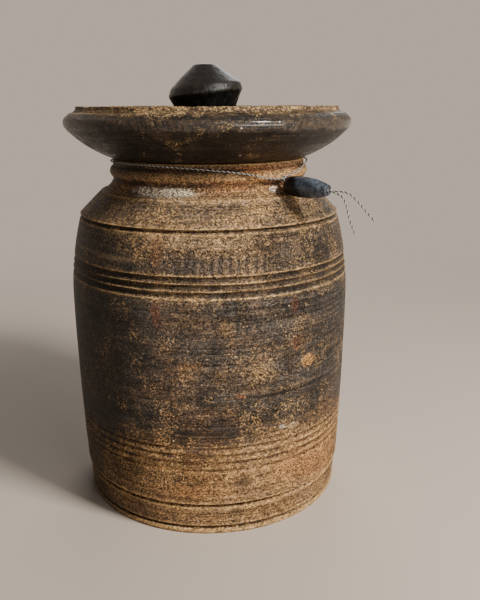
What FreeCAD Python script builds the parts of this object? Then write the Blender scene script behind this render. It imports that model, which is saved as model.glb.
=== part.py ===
import FreeCAD, Part
import Sketcher
import math
import os

# Lidded turned pot: a hollowed body with a rolled rim, a dished lid that lifts out of the mouth,
# a tilted hand-finished knob, and a twine loop round the neck that carries one faceted wooden bead.
# Millimetres, +Z up, origin at the middle of the foot. The front faces -Y, and bearings are turned
# from the front towards +X. The lengths come from the photographed proportions at an overall
# height of about 395 mm.

SIZES = [
    # foot, base band and belly of the pot
    ("belly_radius", 129.4), ("belly_height", 190.0),
    ("foot_inset", 7.2), ("foot_edge", 1.4),
    ("foot_groove_height", 6.2), ("foot_groove_depth", 3.2), ("foot_groove_reach", 1.5),
    ("base_band_inset", 5.6),
    ("skirt_groove_height", 28.4), ("skirt_groove_depth", 3.6), ("skirt_groove_reach", 1.7),
    ("skirt_inset", 4.4),
    # shoulder and neck, each level measured up from the one below it
    ("shoulder_inset", 10.3), ("shoulder_rise", 77.2),
    ("shoulder_groove_depth", 2.8), ("shoulder_groove_reach", 1.8),
    ("neck_radius", 88.4), ("flare_width", 10.0), ("flare_bend", 14.0),
    ("slope_rise", 20.4), ("flare_rise", 7.9),
    ("neck_groove_depth", 1.1), ("neck_groove_rise", 1.9),
    ("bead_foot_rise", 1.8), ("bead_swell", 2.0), ("bead_rise", 4.6), ("bead_top_rise", 5.6),
    ("collar_inset", 1.1), ("collar_rise", 5.6), ("rim_edge", 0.8),
    # the hollow
    ("wall", 16.0), ("rim_wall", 15.3), ("floor_thickness", 20.0), ("floor_corner", 14.0),
    ("cavity_shoulder_drop", 10.2),
    # ring bands cut into the belly
    ("upper_band_height", 228.7), ("upper_band_pitch", 5.95),
    ("upper_band_reach", 2.3), ("upper_band_floor", 1.0), ("upper_band_depth", 2.1),
    ("lower_band_height", 83.6), ("lower_band_pitch", 6.8),
    ("lower_band_reach", 1.5), ("lower_band_floor", 0.5), ("lower_band_depth", 1.5),
    # lid
    ("lid_gap", 1.5), ("spigot_depth", 14.0), ("spigot_wall", 12.0), ("lid_hollow_rise", 9.0),
    ("lid_radius", 128.7), ("underside_bend", 100.0), ("underside_rise", 25.5),
    ("underside_inset", 2.2), ("lid_edge_rise", 5.5),
    ("lid_shoulder_rise", 5.2), ("lid_shoulder_inset", 2.5),
    ("cove_foot_inset", 6.4), ("cove_foot_rise", 3.2), ("cove_bend", 5.5),
    ("lip_inset", 11.7), ("cove_rise", 3.8), ("lip_rise", 1.8), ("lip_thickness", 1.6),
    ("dish_depth", 22.0), ("dish_floor_radius", 80.0), ("dish_bend", 30.0),
    # knob
    ("knob_foot_radius", 16.9), ("knob_low_radius", 30.9), ("knob_low_rise", 27.9),
    ("knob_wide_radius", 33.7), ("knob_wide_rise", 5.0),
    ("knob_high_radius", 31.4), ("knob_high_rise", 6.3),
    ("knob_crown_radius", 10.2), ("knob_crown_rise", 17.4),
    ("knob_top_inset", 1.0), ("knob_top_rise", 0.7), ("knob_tilt", 6.2), ("knob_aside", 1.9),
    ("tenon_radius", 9.0), ("tenon_length", 9.0), ("tenon_gap", 0.1), ("mortise_spare", 1.0),
    # bead and twine
    ("pendant_length", 44.0), ("pendant_radius", 9.0), ("pendant_wide_at", 16.0),
    ("pendant_near_radius", 3.4), ("pendant_far_radius", 4.4), ("pendant_flat", 8.1),
    ("pendant_bore", 1.7), ("pendant_bearing", 43.8), ("pendant_tuck", 2.75),
    ("pendant_rise", 8.5), ("pendant_droop", 1.1), ("pendant_roll", 30.0),
    ("cord_radius", 0.65), ("strand_spread", 0.75),
    ("neck_knot_radius", 2.5), ("neck_knot_back", 2.6), ("neck_knot_rise", 5.6),
    ("strand_turn_back", 1.1), ("strand_sink", 0.8),
    ("tail_knot_radius", 2.1), ("knot_gap", 0.2),
]

FLAT_COUNT = 6
UPPER_GROOVE_COUNT = 3
LOWER_GROOVE_COUNT = 4
ARC_SHARE = 0.45
LEAST_CUT = 1.0

# Twine loop round the neck: bearing in degrees, then how far it stands off the rolled rim and how
# far it lies below the top of the rim. It sags across the front, where the bead pulls it down.
LOOP_ROUTE = [
    (42.9, 2.1, 14.0), (34.8, 2.2, 13.6), (24.0, 1.8, 8.9), (10.0, 0.2, 5.8), (-7.0, -0.4, 3.6),
    (-26.0, -0.1, 1.9), (-47.0, 0.1, 1.5), (-70.0, 0.0, 2.2), (-94.0, 0.2, 2.7), (-118.0, 0.0, 2.4),
    (-142.0, 0.1, 1.9), (-166.0, 0.0, 1.8), (170.0, 0.2, 2.2), (146.0, 0.0, 2.6), (122.0, 0.1, 2.4),
    (100.0, 0.1, 2.0), (81.0, 0.2, 2.4), (67.0, 0.9, 5.3), (56.0, 1.8, 9.4), (44.7, 2.2, 13.3),
]

# Free tails beyond the bead: how far out from the tail knot, how far to the side and how far down.
LONG_TAIL_ROUTE = [
    (4.6, 1.3, 0.5), (10.5, 3.2, 0.2), (16.3, 5.3, 2.5), (22.0, 7.6, 8.4), (28.4, 9.8, 15.9),
    (34.3, 12.6, 22.2),
]
SHORT_TAIL_ROUTE = [
    (6.8, 0.2, 1.5), (12.6, 0.6, 3.7), (15.4, 1.0, 9.0), (17.1, 1.8, 15.9), (19.6, 2.4, 23.9),
    (23.1, 3.5, 31.9),
]

document = FreeCAD.newDocument("turned_pot")
sheet = document.addObject("Spreadsheet::Sheet", "sizes")
for row, (alias, value) in enumerate(SIZES, start=1):
    sheet.set("A%d" % row, alias)
    sheet.set("B%d" % row, str(value))
    sheet.setAlias("B%d" % row, alias)
document.recompute()


def size(name):
    """The sheet's present value of one named size."""
    return float(sheet.get(name))


def value_of(terms):
    """A length as a number: terms gives each named size and how many times it counts."""
    return sum(count * size(name) for name, count in terms.items())


def rule_of(terms):
    """The same length as an expression on the sheet."""
    return " + ".join("%g * sizes.%s" % (count, name) for name, count in terms.items())


def plus(terms, **more):
    """A length made from another one and some named sizes."""
    total = dict(terms)
    for name, count in more.items():
        total[name] = total.get(name, 0) + count
    return total


# Levels above the foot
BELLY = dict(belly_height=1)
SHOULDER = plus(BELLY, shoulder_rise=1)
FLARE = plus(SHOULDER, slope_rise=1)
NECK = plus(FLARE, flare_rise=1)
NECK_GROOVE = plus(NECK, neck_groove_rise=1)
BEAD_FOOT = plus(NECK_GROOVE, bead_foot_rise=1)
RIM_BEAD = plus(BEAD_FOOT, bead_rise=1)
BEAD_TOP = plus(RIM_BEAD, bead_top_rise=1)
RIM = plus(BEAD_TOP, collar_rise=1)
LID_EDGE = plus(RIM, underside_rise=1, lid_edge_rise=1)
LID_SHOULDER = plus(LID_EDGE, lid_shoulder_rise=1)
COVE_FOOT = plus(LID_SHOULDER, cove_foot_rise=1)
COVE_TOP = plus(COVE_FOOT, cove_rise=1)
LIP = plus(COVE_TOP, lip_rise=1)
DISH_FLOOR = plus(LIP, dish_depth=-1)

# Distances from the pot's axis
AXIS = {}
GROUND = {}
BELLY_WIDTH = dict(belly_radius=1)
FOOT_WIDTH = plus(BELLY_WIDTH, foot_inset=-1)
BAND_WIDTH = plus(BELLY_WIDTH, base_band_inset=-1)
SKIRT_WIDTH = plus(BELLY_WIDTH, skirt_inset=-1)
SHOULDER_WIDTH = plus(BELLY_WIDTH, shoulder_inset=-1)
NECK_WIDTH = dict(neck_radius=1)
FLARE_WIDTH = plus(NECK_WIDTH, flare_width=1)
RIM_BEAD_WIDTH = plus(NECK_WIDTH, bead_swell=1)
COLLAR_WIDTH = plus(NECK_WIDTH, collar_inset=-1)
MOUTH_WIDTH = plus(COLLAR_WIDTH, rim_wall=-1)
SPIGOT_WIDTH = plus(MOUTH_WIDTH, lid_gap=-1)
LIP_WIDTH = dict(lid_radius=1, lip_inset=-1)

# How the line that leaves a corner runs
STRAIGHT = ("straight",)
LEAVES_UPRIGHT = ("leaves upright",)
ARRIVES_UPRIGHT = ("arrives upright",)


def rounded(name):
    """An arc of the named radius that swells out of the wood."""
    return ("bend", name, 1)


def hollowed(name):
    """An arc of the named radius that is cut into the wood."""
    return ("bend", name, -1)


def notch(width, level, depth, reach):
    """Three corners of a vee groove turned round the pot."""
    return [
        (width, plus(level, **{reach: -1}), STRAIGHT),
        (plus(width, **{depth: -1}), level, STRAIGHT),
        (width, plus(level, **{reach: 1}), STRAIGHT),
    ]


def origin_plane(body, role):
    """One of the body's own base planes."""
    for feature in body.Origin.OriginFeatures:
        if feature.Role == role:
            return feature
    raise RuntimeError("no plane " + role)


def new_sketch(body, name, role):
    """An empty sketch on one of the body's base planes."""
    sketch = body.newObject("Sketcher::SketchObject", name)
    sketch.AttachmentSupport = [(origin_plane(body, role), "")]
    sketch.MapMode = "FlatFace"
    return sketch


def arc_centre(start, end, run):
    """The centre of the arc that leaves one corner of an outline."""
    middle = (start + end) * 0.5
    along = end - start
    if run[0] == "bend":
        across = FreeCAD.Vector(-along.y, along.x, 0).normalize()
        reach = math.sqrt(size(run[1]) ** 2 - (along.Length / 2) ** 2)
        return middle + across * reach * run[2]
    level = start.y if run is LEAVES_UPRIGHT else end.y
    slope = along.x / along.y
    return FreeCAD.Vector(middle.x + (middle.y - level) / slope, level, 0)


def pin(sketch, geometry, point, terms_across, terms_up):
    """Holds a point at its named distances from the axis and above the ground."""
    for kind, axis, terms in (("DistanceX", -2, terms_across), ("DistanceY", -1, terms_up)):
        if not terms:
            sketch.addConstraint(Sketcher.Constraint("PointOnObject", geometry, point, axis))
            continue
        length = value_of(terms)
        index = sketch.addConstraint(Sketcher.Constraint(kind, -1, 1, geometry, point, length))
        sketch.setExpression("Constraints[%d]" % index, rule_of(terms))


def add_arc(sketch, start, end, centre, construction=False):
    """An arc between two points. Returns its number and which of its ends is the start."""
    circle = Part.Circle(centre, FreeCAD.Vector(0, 0, 1), (start - centre).Length)
    first = math.atan2(start.y - centre.y, start.x - centre.x)
    last = math.atan2(end.y - centre.y, end.x - centre.x)
    turns_left = (start - centre).cross(end - centre).z > 0
    if not turns_left:
        first, last = last, first
    if last < first:
        last += 2 * math.pi
    number = sketch.addGeometry(Part.ArcOfCircle(circle, first, last), construction)
    return number, (1, 2) if turns_left else (2, 1)


def turned_outline(body, name, corners):
    """A closed half outline in the upright plane, every corner pinned to its sizes."""
    sketch = new_sketch(body, name, "XZ_Plane")
    places = [FreeCAD.Vector(value_of(across), value_of(up), 0) for across, up, run in corners]
    edges = []
    for number, (across, up, run) in enumerate(corners):
        start = places[number]
        end = places[(number + 1) % len(places)]
        if run is STRAIGHT:
            edges.append((sketch.addGeometry(Part.LineSegment(start, end), False), (1, 2)))
            continue
        centre = arc_centre(start, end, run)
        edges.append(add_arc(sketch, start, end, centre))
    for number, (edge, ends) in enumerate(edges):
        following, next_ends = edges[(number + 1) % len(edges)]
        joint = Sketcher.Constraint("Coincident", edge, ends[1], following, next_ends[0])
        sketch.addConstraint(joint)
    for number, (across, up, run) in enumerate(corners):
        edge, ends = edges[number]
        pin(sketch, edge, ends[0], across, up)
        if run[0] == "bend":
            index = sketch.addConstraint(Sketcher.Constraint("Radius", edge, size(run[1])))
            sketch.setExpression("Constraints[%d]" % index, "sizes." + run[1])
        elif run is not STRAIGHT:
            upright = ends[0] if run is LEAVES_UPRIGHT else ends[1]
            sketch.addConstraint(Sketcher.Constraint("Horizontal", edge, 3, edge, upright))
    return sketch


def turn(body, kind, name, sketch):
    """Turns an outline once round the body's upright axis, as added or as removed wood."""
    feature = body.newObject(kind, name)
    feature.Profile = sketch
    feature.ReferenceAxis = (sketch, ["V_Axis"])
    feature.Angle = 360.0
    body.Tip = feature
    return feature


def must_remove(body, before, name):
    """Stops if a cut left the wood as it was, to within one cubic millimetre."""
    if body.Shape.Volume > before - LEAST_CUT:
        raise RuntimeError(name + " removes nothing")


def groove_outline(sketch, spot, place, band):
    """A flat-bottomed groove about a point of the belly, with sides that spread outwards."""
    depth = {band + "_depth": 1}
    floor = {band + "_floor": 1}
    mouth = {band + "_reach": 2, band + "_floor": -1}
    corners = [(-1, -1, floor), (1, -1, mouth), (1, 1, mouth), (-1, 1, floor)]
    points = [place + FreeCAD.Vector(out * value_of(depth), up * value_of(reach), 0)
              for out, up, reach in corners]
    edges = [sketch.addGeometry(Part.LineSegment(start, end), False)
             for start, end in zip(points, points[1:] + points[:1])]
    for edge, following in zip(edges, edges[1:] + edges[:1]):
        sketch.addConstraint(Sketcher.Constraint("Coincident", edge, 2, following, 1))
    for edge, (out, up, reach) in zip(edges, corners):
        for kind, way, terms in (("DistanceX", out, depth), ("DistanceY", up, reach)):
            ends = (spot, 1, edge, 1) if way > 0 else (edge, 1, spot, 1)
            held = Sketcher.Constraint(kind, *ends, value_of(terms))
            sketch.setExpression("Constraints[%d]" % sketch.addConstraint(held), rule_of(terms))


def cut_rings(body, band, end_width, end_level, count):
    """Flat-bottomed grooves at even steps down the swelling belly."""
    sketch = new_sketch(body, band + "_sketch", "XZ_Plane")
    belly = FreeCAD.Vector(value_of(BELLY_WIDTH), value_of(BELLY), 0)
    end = FreeCAD.Vector(value_of(end_width), value_of(end_level), 0)
    centre = arc_centre(belly, end, LEAVES_UPRIGHT)
    guide, ends = add_arc(sketch, belly, end, centre, construction=True)
    pin(sketch, guide, ends[0], BELLY_WIDTH, BELLY)
    pin(sketch, guide, ends[1], end_width, end_level)
    sketch.addConstraint(Sketcher.Constraint("Horizontal", guide, 3, guide, ends[0]))
    for step in range(count):
        level = {band + "_height": 1, band + "_pitch": -step}
        rise = value_of(level) - centre.y
        across = centre.x + math.sqrt((belly.x - centre.x) ** 2 - rise ** 2)
        place = FreeCAD.Vector(across, value_of(level), 0)
        spot = sketch.addGeometry(Part.Point(place), True)
        sketch.addConstraint(Sketcher.Constraint("PointOnObject", spot, 1, guide))
        held = Sketcher.Constraint("DistanceY", -1, 1, spot, 1, place.y)
        sketch.setExpression("Constraints[%d]" % sketch.addConstraint(held), rule_of(level))
        groove_outline(sketch, spot, place, band)
    before = body.Shape.Volume
    turn(body, "PartDesign::Groove", band, sketch)
    document.recompute()
    must_remove(body, before, band)


def disc_sketch(body, name, radius, level, tilt=None, aside=None):
    """A circle across the body's axis at a level, leaning by a named angle and set to the left
    by a named size where these are given."""
    sketch = new_sketch(body, name, "XY_Plane")
    lean = FreeCAD.Rotation(FreeCAD.Vector(0, -1, 0), size(tilt) if tilt else 0.0)
    left = -size(aside) if aside else 0.0
    sketch.AttachmentOffset = FreeCAD.Placement(FreeCAD.Vector(left, 0, value_of(level)), lean)
    if level:
        sketch.setExpression("AttachmentOffset.Base.z", rule_of(level))
    if aside:
        sketch.setExpression("AttachmentOffset.Base.x", "-sizes." + aside)
    if tilt:
        sketch.setExpression("AttachmentOffset.Rotation.Angle", "sizes." + tilt)
    circle = Part.Circle(FreeCAD.Vector(), FreeCAD.Vector(0, 0, 1), value_of(radius))
    ring = sketch.addGeometry(circle, False)
    sketch.addConstraint(Sketcher.Constraint("Coincident", ring, 3, -1, 1))
    index = sketch.addConstraint(Sketcher.Constraint("Radius", ring, value_of(radius)))
    sketch.setExpression("Constraints[%d]" % index, rule_of(radius))
    return sketch


def new_body(name):
    """An empty body whose label names its file."""
    body = document.addObject("PartDesign::Body", name)
    body.Label = name
    return body


def make_pot_body():
    """The hollowed pot: foot, base band, belly, ridged shoulder, flared neck and rolled rim."""
    body = new_body("pot_body")
    foot_groove = dict(foot_groove_height=1)
    skirt_groove = dict(skirt_groove_height=1)
    low_groove = notch(FOOT_WIDTH, foot_groove, "foot_groove_depth", "foot_groove_reach")
    high_groove = notch(BAND_WIDTH, skirt_groove, "skirt_groove_depth", "skirt_groove_reach")
    high_groove[2] = (SKIRT_WIDTH, high_groove[2][1], ARRIVES_UPRIGHT)
    ridge_groove = plus(SHOULDER, shoulder_groove_reach=-1)
    ridge = notch(SHOULDER_WIDTH, ridge_groove, "shoulder_groove_depth", "shoulder_groove_reach")
    outline = [
        (AXIS, GROUND, STRAIGHT),
        (plus(FOOT_WIDTH, foot_edge=-1), GROUND, STRAIGHT),
        (FOOT_WIDTH, dict(foot_edge=1), STRAIGHT),
    ]
    outline += low_groove + high_groove
    outline += [(BELLY_WIDTH, BELLY, LEAVES_UPRIGHT)]
    outline += ridge
    outline += [
        (FLARE_WIDTH, FLARE, hollowed("flare_bend")),
        (NECK_WIDTH, NECK, STRAIGHT),
        (plus(NECK_WIDTH, neck_groove_depth=-1), NECK_GROOVE, STRAIGHT),
        (NECK_WIDTH, BEAD_FOOT, ARRIVES_UPRIGHT),
        (RIM_BEAD_WIDTH, RIM_BEAD, LEAVES_UPRIGHT),
        (COLLAR_WIDTH, BEAD_TOP, STRAIGHT),
        (COLLAR_WIDTH, plus(RIM, rim_edge=-1), STRAIGHT),
        (plus(COLLAR_WIDTH, rim_edge=-1), RIM, STRAIGHT),
        (AXIS, RIM, STRAIGHT),
    ]
    turn(body, "PartDesign::Revolution", "turned", turned_outline(body, "outline", outline))
    document.recompute()
    before = body.Shape.Volume
    cavity = [
        (AXIS, dict(floor_thickness=1), STRAIGHT),
        (plus(SKIRT_WIDTH, wall=-1, floor_corner=-1), dict(floor_thickness=1), ARRIVES_UPRIGHT),
        (plus(SKIRT_WIDTH, wall=-1), dict(floor_thickness=1, floor_corner=1), ARRIVES_UPRIGHT),
        (plus(BELLY_WIDTH, wall=-1), BELLY, LEAVES_UPRIGHT),
        (plus(SHOULDER_WIDTH, wall=-1), plus(SHOULDER, cavity_shoulder_drop=-1), STRAIGHT),
        (MOUTH_WIDTH, FLARE, STRAIGHT),
        (MOUTH_WIDTH, plus(RIM, rim_edge=-1), STRAIGHT),
        (plus(MOUTH_WIDTH, rim_edge=1), RIM, STRAIGHT),
        (AXIS, RIM, STRAIGHT),
    ]
    turn(body, "PartDesign::Groove", "hollow", turned_outline(body, "cavity", cavity))
    document.recompute()
    must_remove(body, before, "hollow")
    band_top = plus(ridge_groove, shoulder_groove_reach=-1)
    cut_rings(body, "upper_band", SHOULDER_WIDTH, band_top, UPPER_GROOVE_COUNT)
    band_foot = plus(skirt_groove, skirt_groove_reach=1)
    cut_rings(body, "lower_band", SKIRT_WIDTH, band_foot, LOWER_GROOVE_COUNT)
    return body


def make_lid():
    """The dished lid: a spigot that drops into the mouth, a swelling underside and a thin lip."""
    body = new_body("lid")
    spigot_foot = plus(RIM, spigot_depth=-1)
    hollow_top = plus(RIM, lid_hollow_rise=1)
    spigot_bore = plus(SPIGOT_WIDTH, spigot_wall=-1)
    edge = dict(lid_radius=1)
    outline = [
        (AXIS, hollow_top, STRAIGHT),
        (spigot_bore, hollow_top, STRAIGHT),
        (spigot_bore, spigot_foot, STRAIGHT),
        (SPIGOT_WIDTH, spigot_foot, STRAIGHT),
        (SPIGOT_WIDTH, RIM, STRAIGHT),
        (COLLAR_WIDTH, RIM, rounded("underside_bend")),
        (plus(edge, underside_inset=-1), plus(RIM, underside_rise=1), ARRIVES_UPRIGHT),
        (edge, LID_EDGE, LEAVES_UPRIGHT),
        (plus(edge, lid_shoulder_inset=-1), LID_SHOULDER, STRAIGHT),
        (plus(edge, cove_foot_inset=-1), COVE_FOOT, hollowed("cove_bend")),
        (LIP_WIDTH, COVE_TOP, STRAIGHT),
        (LIP_WIDTH, LIP, STRAIGHT),
        (plus(LIP_WIDTH, lip_thickness=-1), LIP, hollowed("dish_bend")),
        (dict(dish_floor_radius=1), DISH_FLOOR, STRAIGHT),
        (AXIS, DISH_FLOOR, STRAIGHT),
    ]
    turn(body, "PartDesign::Revolution", "turned", turned_outline(body, "outline", outline))
    document.recompute()
    before = body.Shape.Volume
    mortise_width = dict(tenon_radius=1, tenon_gap=1)
    mortise_foot = plus(DISH_FLOOR, tenon_length=-1, mortise_spare=-1)
    mortise = [
        (AXIS, mortise_foot, STRAIGHT),
        (mortise_width, mortise_foot, STRAIGHT),
        (mortise_width, DISH_FLOOR, STRAIGHT),
        (AXIS, DISH_FLOOR, STRAIGHT),
    ]
    turn(body, "PartDesign::Groove", "mortise", turned_outline(body, "mortise_outline", mortise))
    document.recompute()
    must_remove(body, before, "mortise")
    return body


def make_knob():
    """The knob: two cones joined at a leaning rounded girdle, on a tenon glued into the lid.
    The hand-cut head stands a little to the left of its foot."""
    body = new_body("knob")
    low = plus(DISH_FLOOR, knob_low_rise=1)
    wide = plus(low, knob_wide_rise=1)
    high = plus(wide, knob_high_rise=1)
    crown = plus(high, knob_crown_rise=1)
    top = plus(crown, knob_top_rise=1)
    sections = [
        disc_sketch(body, "foot_ring", dict(knob_foot_radius=1), DISH_FLOOR),
        disc_sketch(body, "low_ring", dict(knob_low_radius=1), low, "knob_tilt", "knob_aside"),
        disc_sketch(body, "wide_ring", dict(knob_wide_radius=1), wide, "knob_tilt", "knob_aside"),
        disc_sketch(body, "high_ring", dict(knob_high_radius=1), high, "knob_tilt", "knob_aside"),
        disc_sketch(body, "crown_ring", dict(knob_crown_radius=1), crown, aside="knob_aside"),
        disc_sketch(body, "top_ring", dict(knob_crown_radius=1, knob_top_inset=-1), top,
                    aside="knob_aside"),
    ]
    head = body.newObject("PartDesign::AdditiveLoft", "head")
    head.Profile = sections[0]
    head.Sections = sections[1:]
    head.Ruled = True
    body.Tip = head
    document.recompute()
    tenon = body.newObject("PartDesign::Pad", "tenon")
    tenon.Profile = disc_sketch(body, "tenon_ring", dict(tenon_radius=1), DISH_FLOOR)
    tenon.Reversed = True
    tenon.setExpression("Length", "sizes.tenon_length")
    body.Tip = tenon
    return body


def pendant_frame():
    """Where the bead's near end is, over the edge of the flare, and its own directions."""
    bearing = math.radians(size("pendant_bearing"))
    droop = math.radians(size("pendant_droop"))
    outward = FreeCAD.Vector(math.sin(bearing), -math.cos(bearing), 0)
    along = outward * math.cos(droop) - FreeCAD.Vector(0, 0, math.sin(droop))
    side = FreeCAD.Vector(math.cos(bearing), math.sin(bearing), 0)
    near = outward * value_of(plus(FLARE_WIDTH, pendant_tuck=-1))
    near.z = value_of(plus(FLARE, pendant_rise=1))
    return near, along, side, along.cross(side)


def pendant_point(forward, sideways, lift):
    """A point given in the bead's own directions, from its near end."""
    near, along, side, up = pendant_frame()
    return near + along * forward + side * sideways + up * lift


def make_pendant_bead():
    """The bead: a turned barrel with hand-cut flats and a bore for the doubled twine."""
    body = new_body("pendant_bead")
    outline = [
        (AXIS, GROUND, STRAIGHT),
        (dict(pendant_near_radius=1), GROUND, ARRIVES_UPRIGHT),
        (dict(pendant_radius=1), dict(pendant_wide_at=1), LEAVES_UPRIGHT),
        (dict(pendant_far_radius=1), dict(pendant_length=1), STRAIGHT),
        (AXIS, dict(pendant_length=1), STRAIGHT),
    ]
    turn(body, "PartDesign::Revolution", "barrel", turned_outline(body, "outline", outline))
    document.recompute()
    before = body.Shape.Volume
    spare = dict(pendant_radius=2)
    flat = [
        (dict(pendant_flat=1), GROUND, STRAIGHT),
        (spare, GROUND, STRAIGHT),
        (spare, dict(pendant_length=1), STRAIGHT),
        (dict(pendant_flat=1), dict(pendant_length=1), STRAIGHT),
    ]
    shaving = body.newObject("PartDesign::Pocket", "flat")
    shaving.Profile = turned_outline(body, "flat_outline", flat)
    shaving.Type = "Length"
    shaving.Midplane = True
    shaving.setExpression("Length", "4 * sizes.pendant_radius")
    body.Tip = shaving
    document.recompute()
    must_remove(body, before, "flat")
    before = body.Shape.Volume
    flats = body.newObject("PartDesign::PolarPattern", "flats")
    flats.Originals = [shaving]
    flats.Axis = (shaving.Profile[0], ["V_Axis"])
    flats.Angle = 360.0
    flats.Occurrences = FLAT_COUNT
    body.Tip = flats
    document.recompute()
    must_remove(body, before, "flats")
    before = body.Shape.Volume
    bore = body.newObject("PartDesign::Pocket", "bore")
    bore.Profile = disc_sketch(body, "bore_ring", dict(pendant_bore=1), GROUND)
    bore.Reversed = True
    bore.setExpression("Length", "sizes.pendant_length")
    body.Tip = bore
    document.recompute()
    must_remove(body, before, "bore")
    near, along, side, up = pendant_frame()
    roll = FreeCAD.Rotation(FreeCAD.Vector(0, 0, 1), size("pendant_roll"))
    body.Placement = FreeCAD.Placement(near, FreeCAD.Rotation(side, up, along, "ZXY") * roll)
    return body


def rounded_path(points):
    """Straight runs between points, each corner taken by the largest even arc. Also its radii."""
    edges = []
    radii = []
    here = points[0]
    for before, corner, after in zip(points, points[1:], points[2:]):
        arrive = (corner - before).normalize()
        leave = (after - corner).normalize()
        half_turn = arrive.getAngle(leave) / 2
        cut_back = ARC_SHARE * min((corner - before).Length, (after - corner).Length)
        radius = cut_back / math.tan(half_turn)
        start = corner - arrive * cut_back
        end = corner + leave * cut_back
        inward = (leave - arrive).normalize()
        middle = corner + inward * (radius / math.cos(half_turn) - radius)
        edges.append(Part.LineSegment(here, start).toShape())
        edges.append(Part.Arc(start, middle, end).toShape())
        radii.append(radius)
        here = end
    edges.append(Part.LineSegment(here, points[-1]).toShape())
    return Part.Wire(edges), radii


def make_cord(name, points):
    """A plain round cord along a route, with its length and its tightest bend printed."""
    path, radii = rounded_path(points)
    radius = size("cord_radius")
    circle = Part.Circle(points[0], points[1] - points[0], radius)
    tube = path.makePipeShell([Part.Wire([circle.toShape()])], True, False)
    feature = document.addObject("Part::Feature", name)
    feature.Label = name
    feature.Shape = tube
    section = math.pi * radius ** 2 * path.Length
    print("%s: %.1f mm long, tightest bend %.1f mm, volume over section times length %.4f"
          % (name, path.Length, min(radii), tube.Volume / section))
    print("  bends " + " ".join("%.1f" % bend for bend in radii))
    return feature


def make_ball(name, radius, centre):
    """A plain ball that stands for a knot of twine."""
    ball = document.addObject("Part::Sphere", name)
    ball.Label = name
    ball.setExpression("Radius", "sizes." + radius)
    ball.Placement = FreeCAD.Placement(centre, FreeCAD.Rotation())
    return ball


def loop_points():
    """The loop's route round the neck, from its bearings, stand-offs and drops."""
    points = []
    for bearing, standoff, drop in LOOP_ROUTE:
        reach = value_of(RIM_BEAD_WIDTH) + standoff
        turn_angle = math.radians(bearing)
        level = value_of(RIM) - drop
        across = FreeCAD.Vector(math.sin(turn_angle), -math.cos(turn_angle), 0)
        points.append(across * reach + FreeCAD.Vector(0, 0, level))
    return points


def tail_knot_reach():
    """How far from the bead's near end the middle of the tail knot lies."""
    return size("pendant_length") + size("knot_gap") + size("tail_knot_radius")


def tail_points(route, sideways):
    """A strand's route: out of the neck knot, through the bore and the tail knot, then free."""
    along, side = pendant_frame()[1:3]
    knot = pendant_point(tail_knot_reach(), 0, 0)
    start_rise = size("neck_knot_rise") - size("strand_sink")
    points = [
        pendant_point(-size("neck_knot_back"), sideways, start_rise),
        pendant_point(-size("strand_turn_back"), sideways, 0),
        pendant_point(tail_knot_reach(), sideways, 0),
    ]
    outward = FreeCAD.Vector(along.x, along.y, 0).normalize()
    for out, aside, down in route:
        points.append(knot + outward * out + side * (aside + sideways) - FreeCAD.Vector(0, 0, down))
    return points


def make_twine():
    """The twine: the loop, the knot at the bead's near end, two strands and the end knot."""
    make_cord("cord_loop", loop_points())
    make_cord("strand_long", tail_points(LONG_TAIL_ROUTE, size("strand_spread")))
    make_cord("strand_short", tail_points(SHORT_TAIL_ROUTE, -size("strand_spread")))
    neck_knot = pendant_point(-size("neck_knot_back"), 0, size("neck_knot_rise"))
    make_ball("neck_knot", "neck_knot_radius", neck_knot)
    make_ball("tail_knot", "tail_knot_radius", pendant_point(tail_knot_reach(), 0, 0))


NODES = ["pot_body", "lid", "knob", "pendant_bead", "cord_loop", "neck_knot", "strand_long",
         "strand_short", "tail_knot"]

make_pot_body()
make_lid()
make_knob()
make_pendant_bead()
make_twine()
document.recompute()

for item in document.Objects:
    if "Invalid" in item.State or "Error" in item.State:
        raise RuntimeError("%s did not compute" % item.Name)

os.makedirs("parts", exist_ok=True)
for node in NODES:
    shape = document.getObjectsByLabel(node)[0].Shape
    if shape.isNull() or not shape.isValid():
        raise RuntimeError("%s has no valid shape" % node)
    shape.exportStep("parts/%s.step" % node)
    box = shape.BoundBox
    print("%-13s %9.1f mm3, %d solid(s), x %.1f..%.1f y %.1f..%.1f z %.1f..%.1f"
          % (node, shape.Volume, len(shape.Solids), box.XMin, box.XMax, box.YMin, box.YMax,
             box.ZMin, box.ZMax))
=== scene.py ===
# %% [markdown]
# # Dressing a turned wooden pot
# The imported model gives the real shapes: a hollow pot, a dished lid with its knob, and a length of
# twine with one bead. This lesson gives each of them the look of the old piece: turning lines,
# gritty patina, worn rings, waxed black knob and two-ply twine. Everything is in metres, +Z is up
# and the front faces -Y. The first cell opens the imported model.

import math

import bmesh
import bpy
import numpy as np
from mathutils import Matrix, Vector, noise


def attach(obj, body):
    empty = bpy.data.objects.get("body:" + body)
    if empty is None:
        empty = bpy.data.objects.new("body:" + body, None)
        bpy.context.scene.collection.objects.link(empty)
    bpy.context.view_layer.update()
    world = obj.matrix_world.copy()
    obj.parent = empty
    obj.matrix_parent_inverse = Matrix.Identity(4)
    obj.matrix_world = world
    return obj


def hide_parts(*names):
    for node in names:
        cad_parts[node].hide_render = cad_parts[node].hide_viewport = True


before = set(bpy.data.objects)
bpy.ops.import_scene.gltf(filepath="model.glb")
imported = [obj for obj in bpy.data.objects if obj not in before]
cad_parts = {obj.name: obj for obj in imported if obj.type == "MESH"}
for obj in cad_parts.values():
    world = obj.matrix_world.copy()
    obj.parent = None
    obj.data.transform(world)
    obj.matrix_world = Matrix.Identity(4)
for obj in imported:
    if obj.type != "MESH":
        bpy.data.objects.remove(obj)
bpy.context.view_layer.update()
scene = bpy.context.scene

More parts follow.
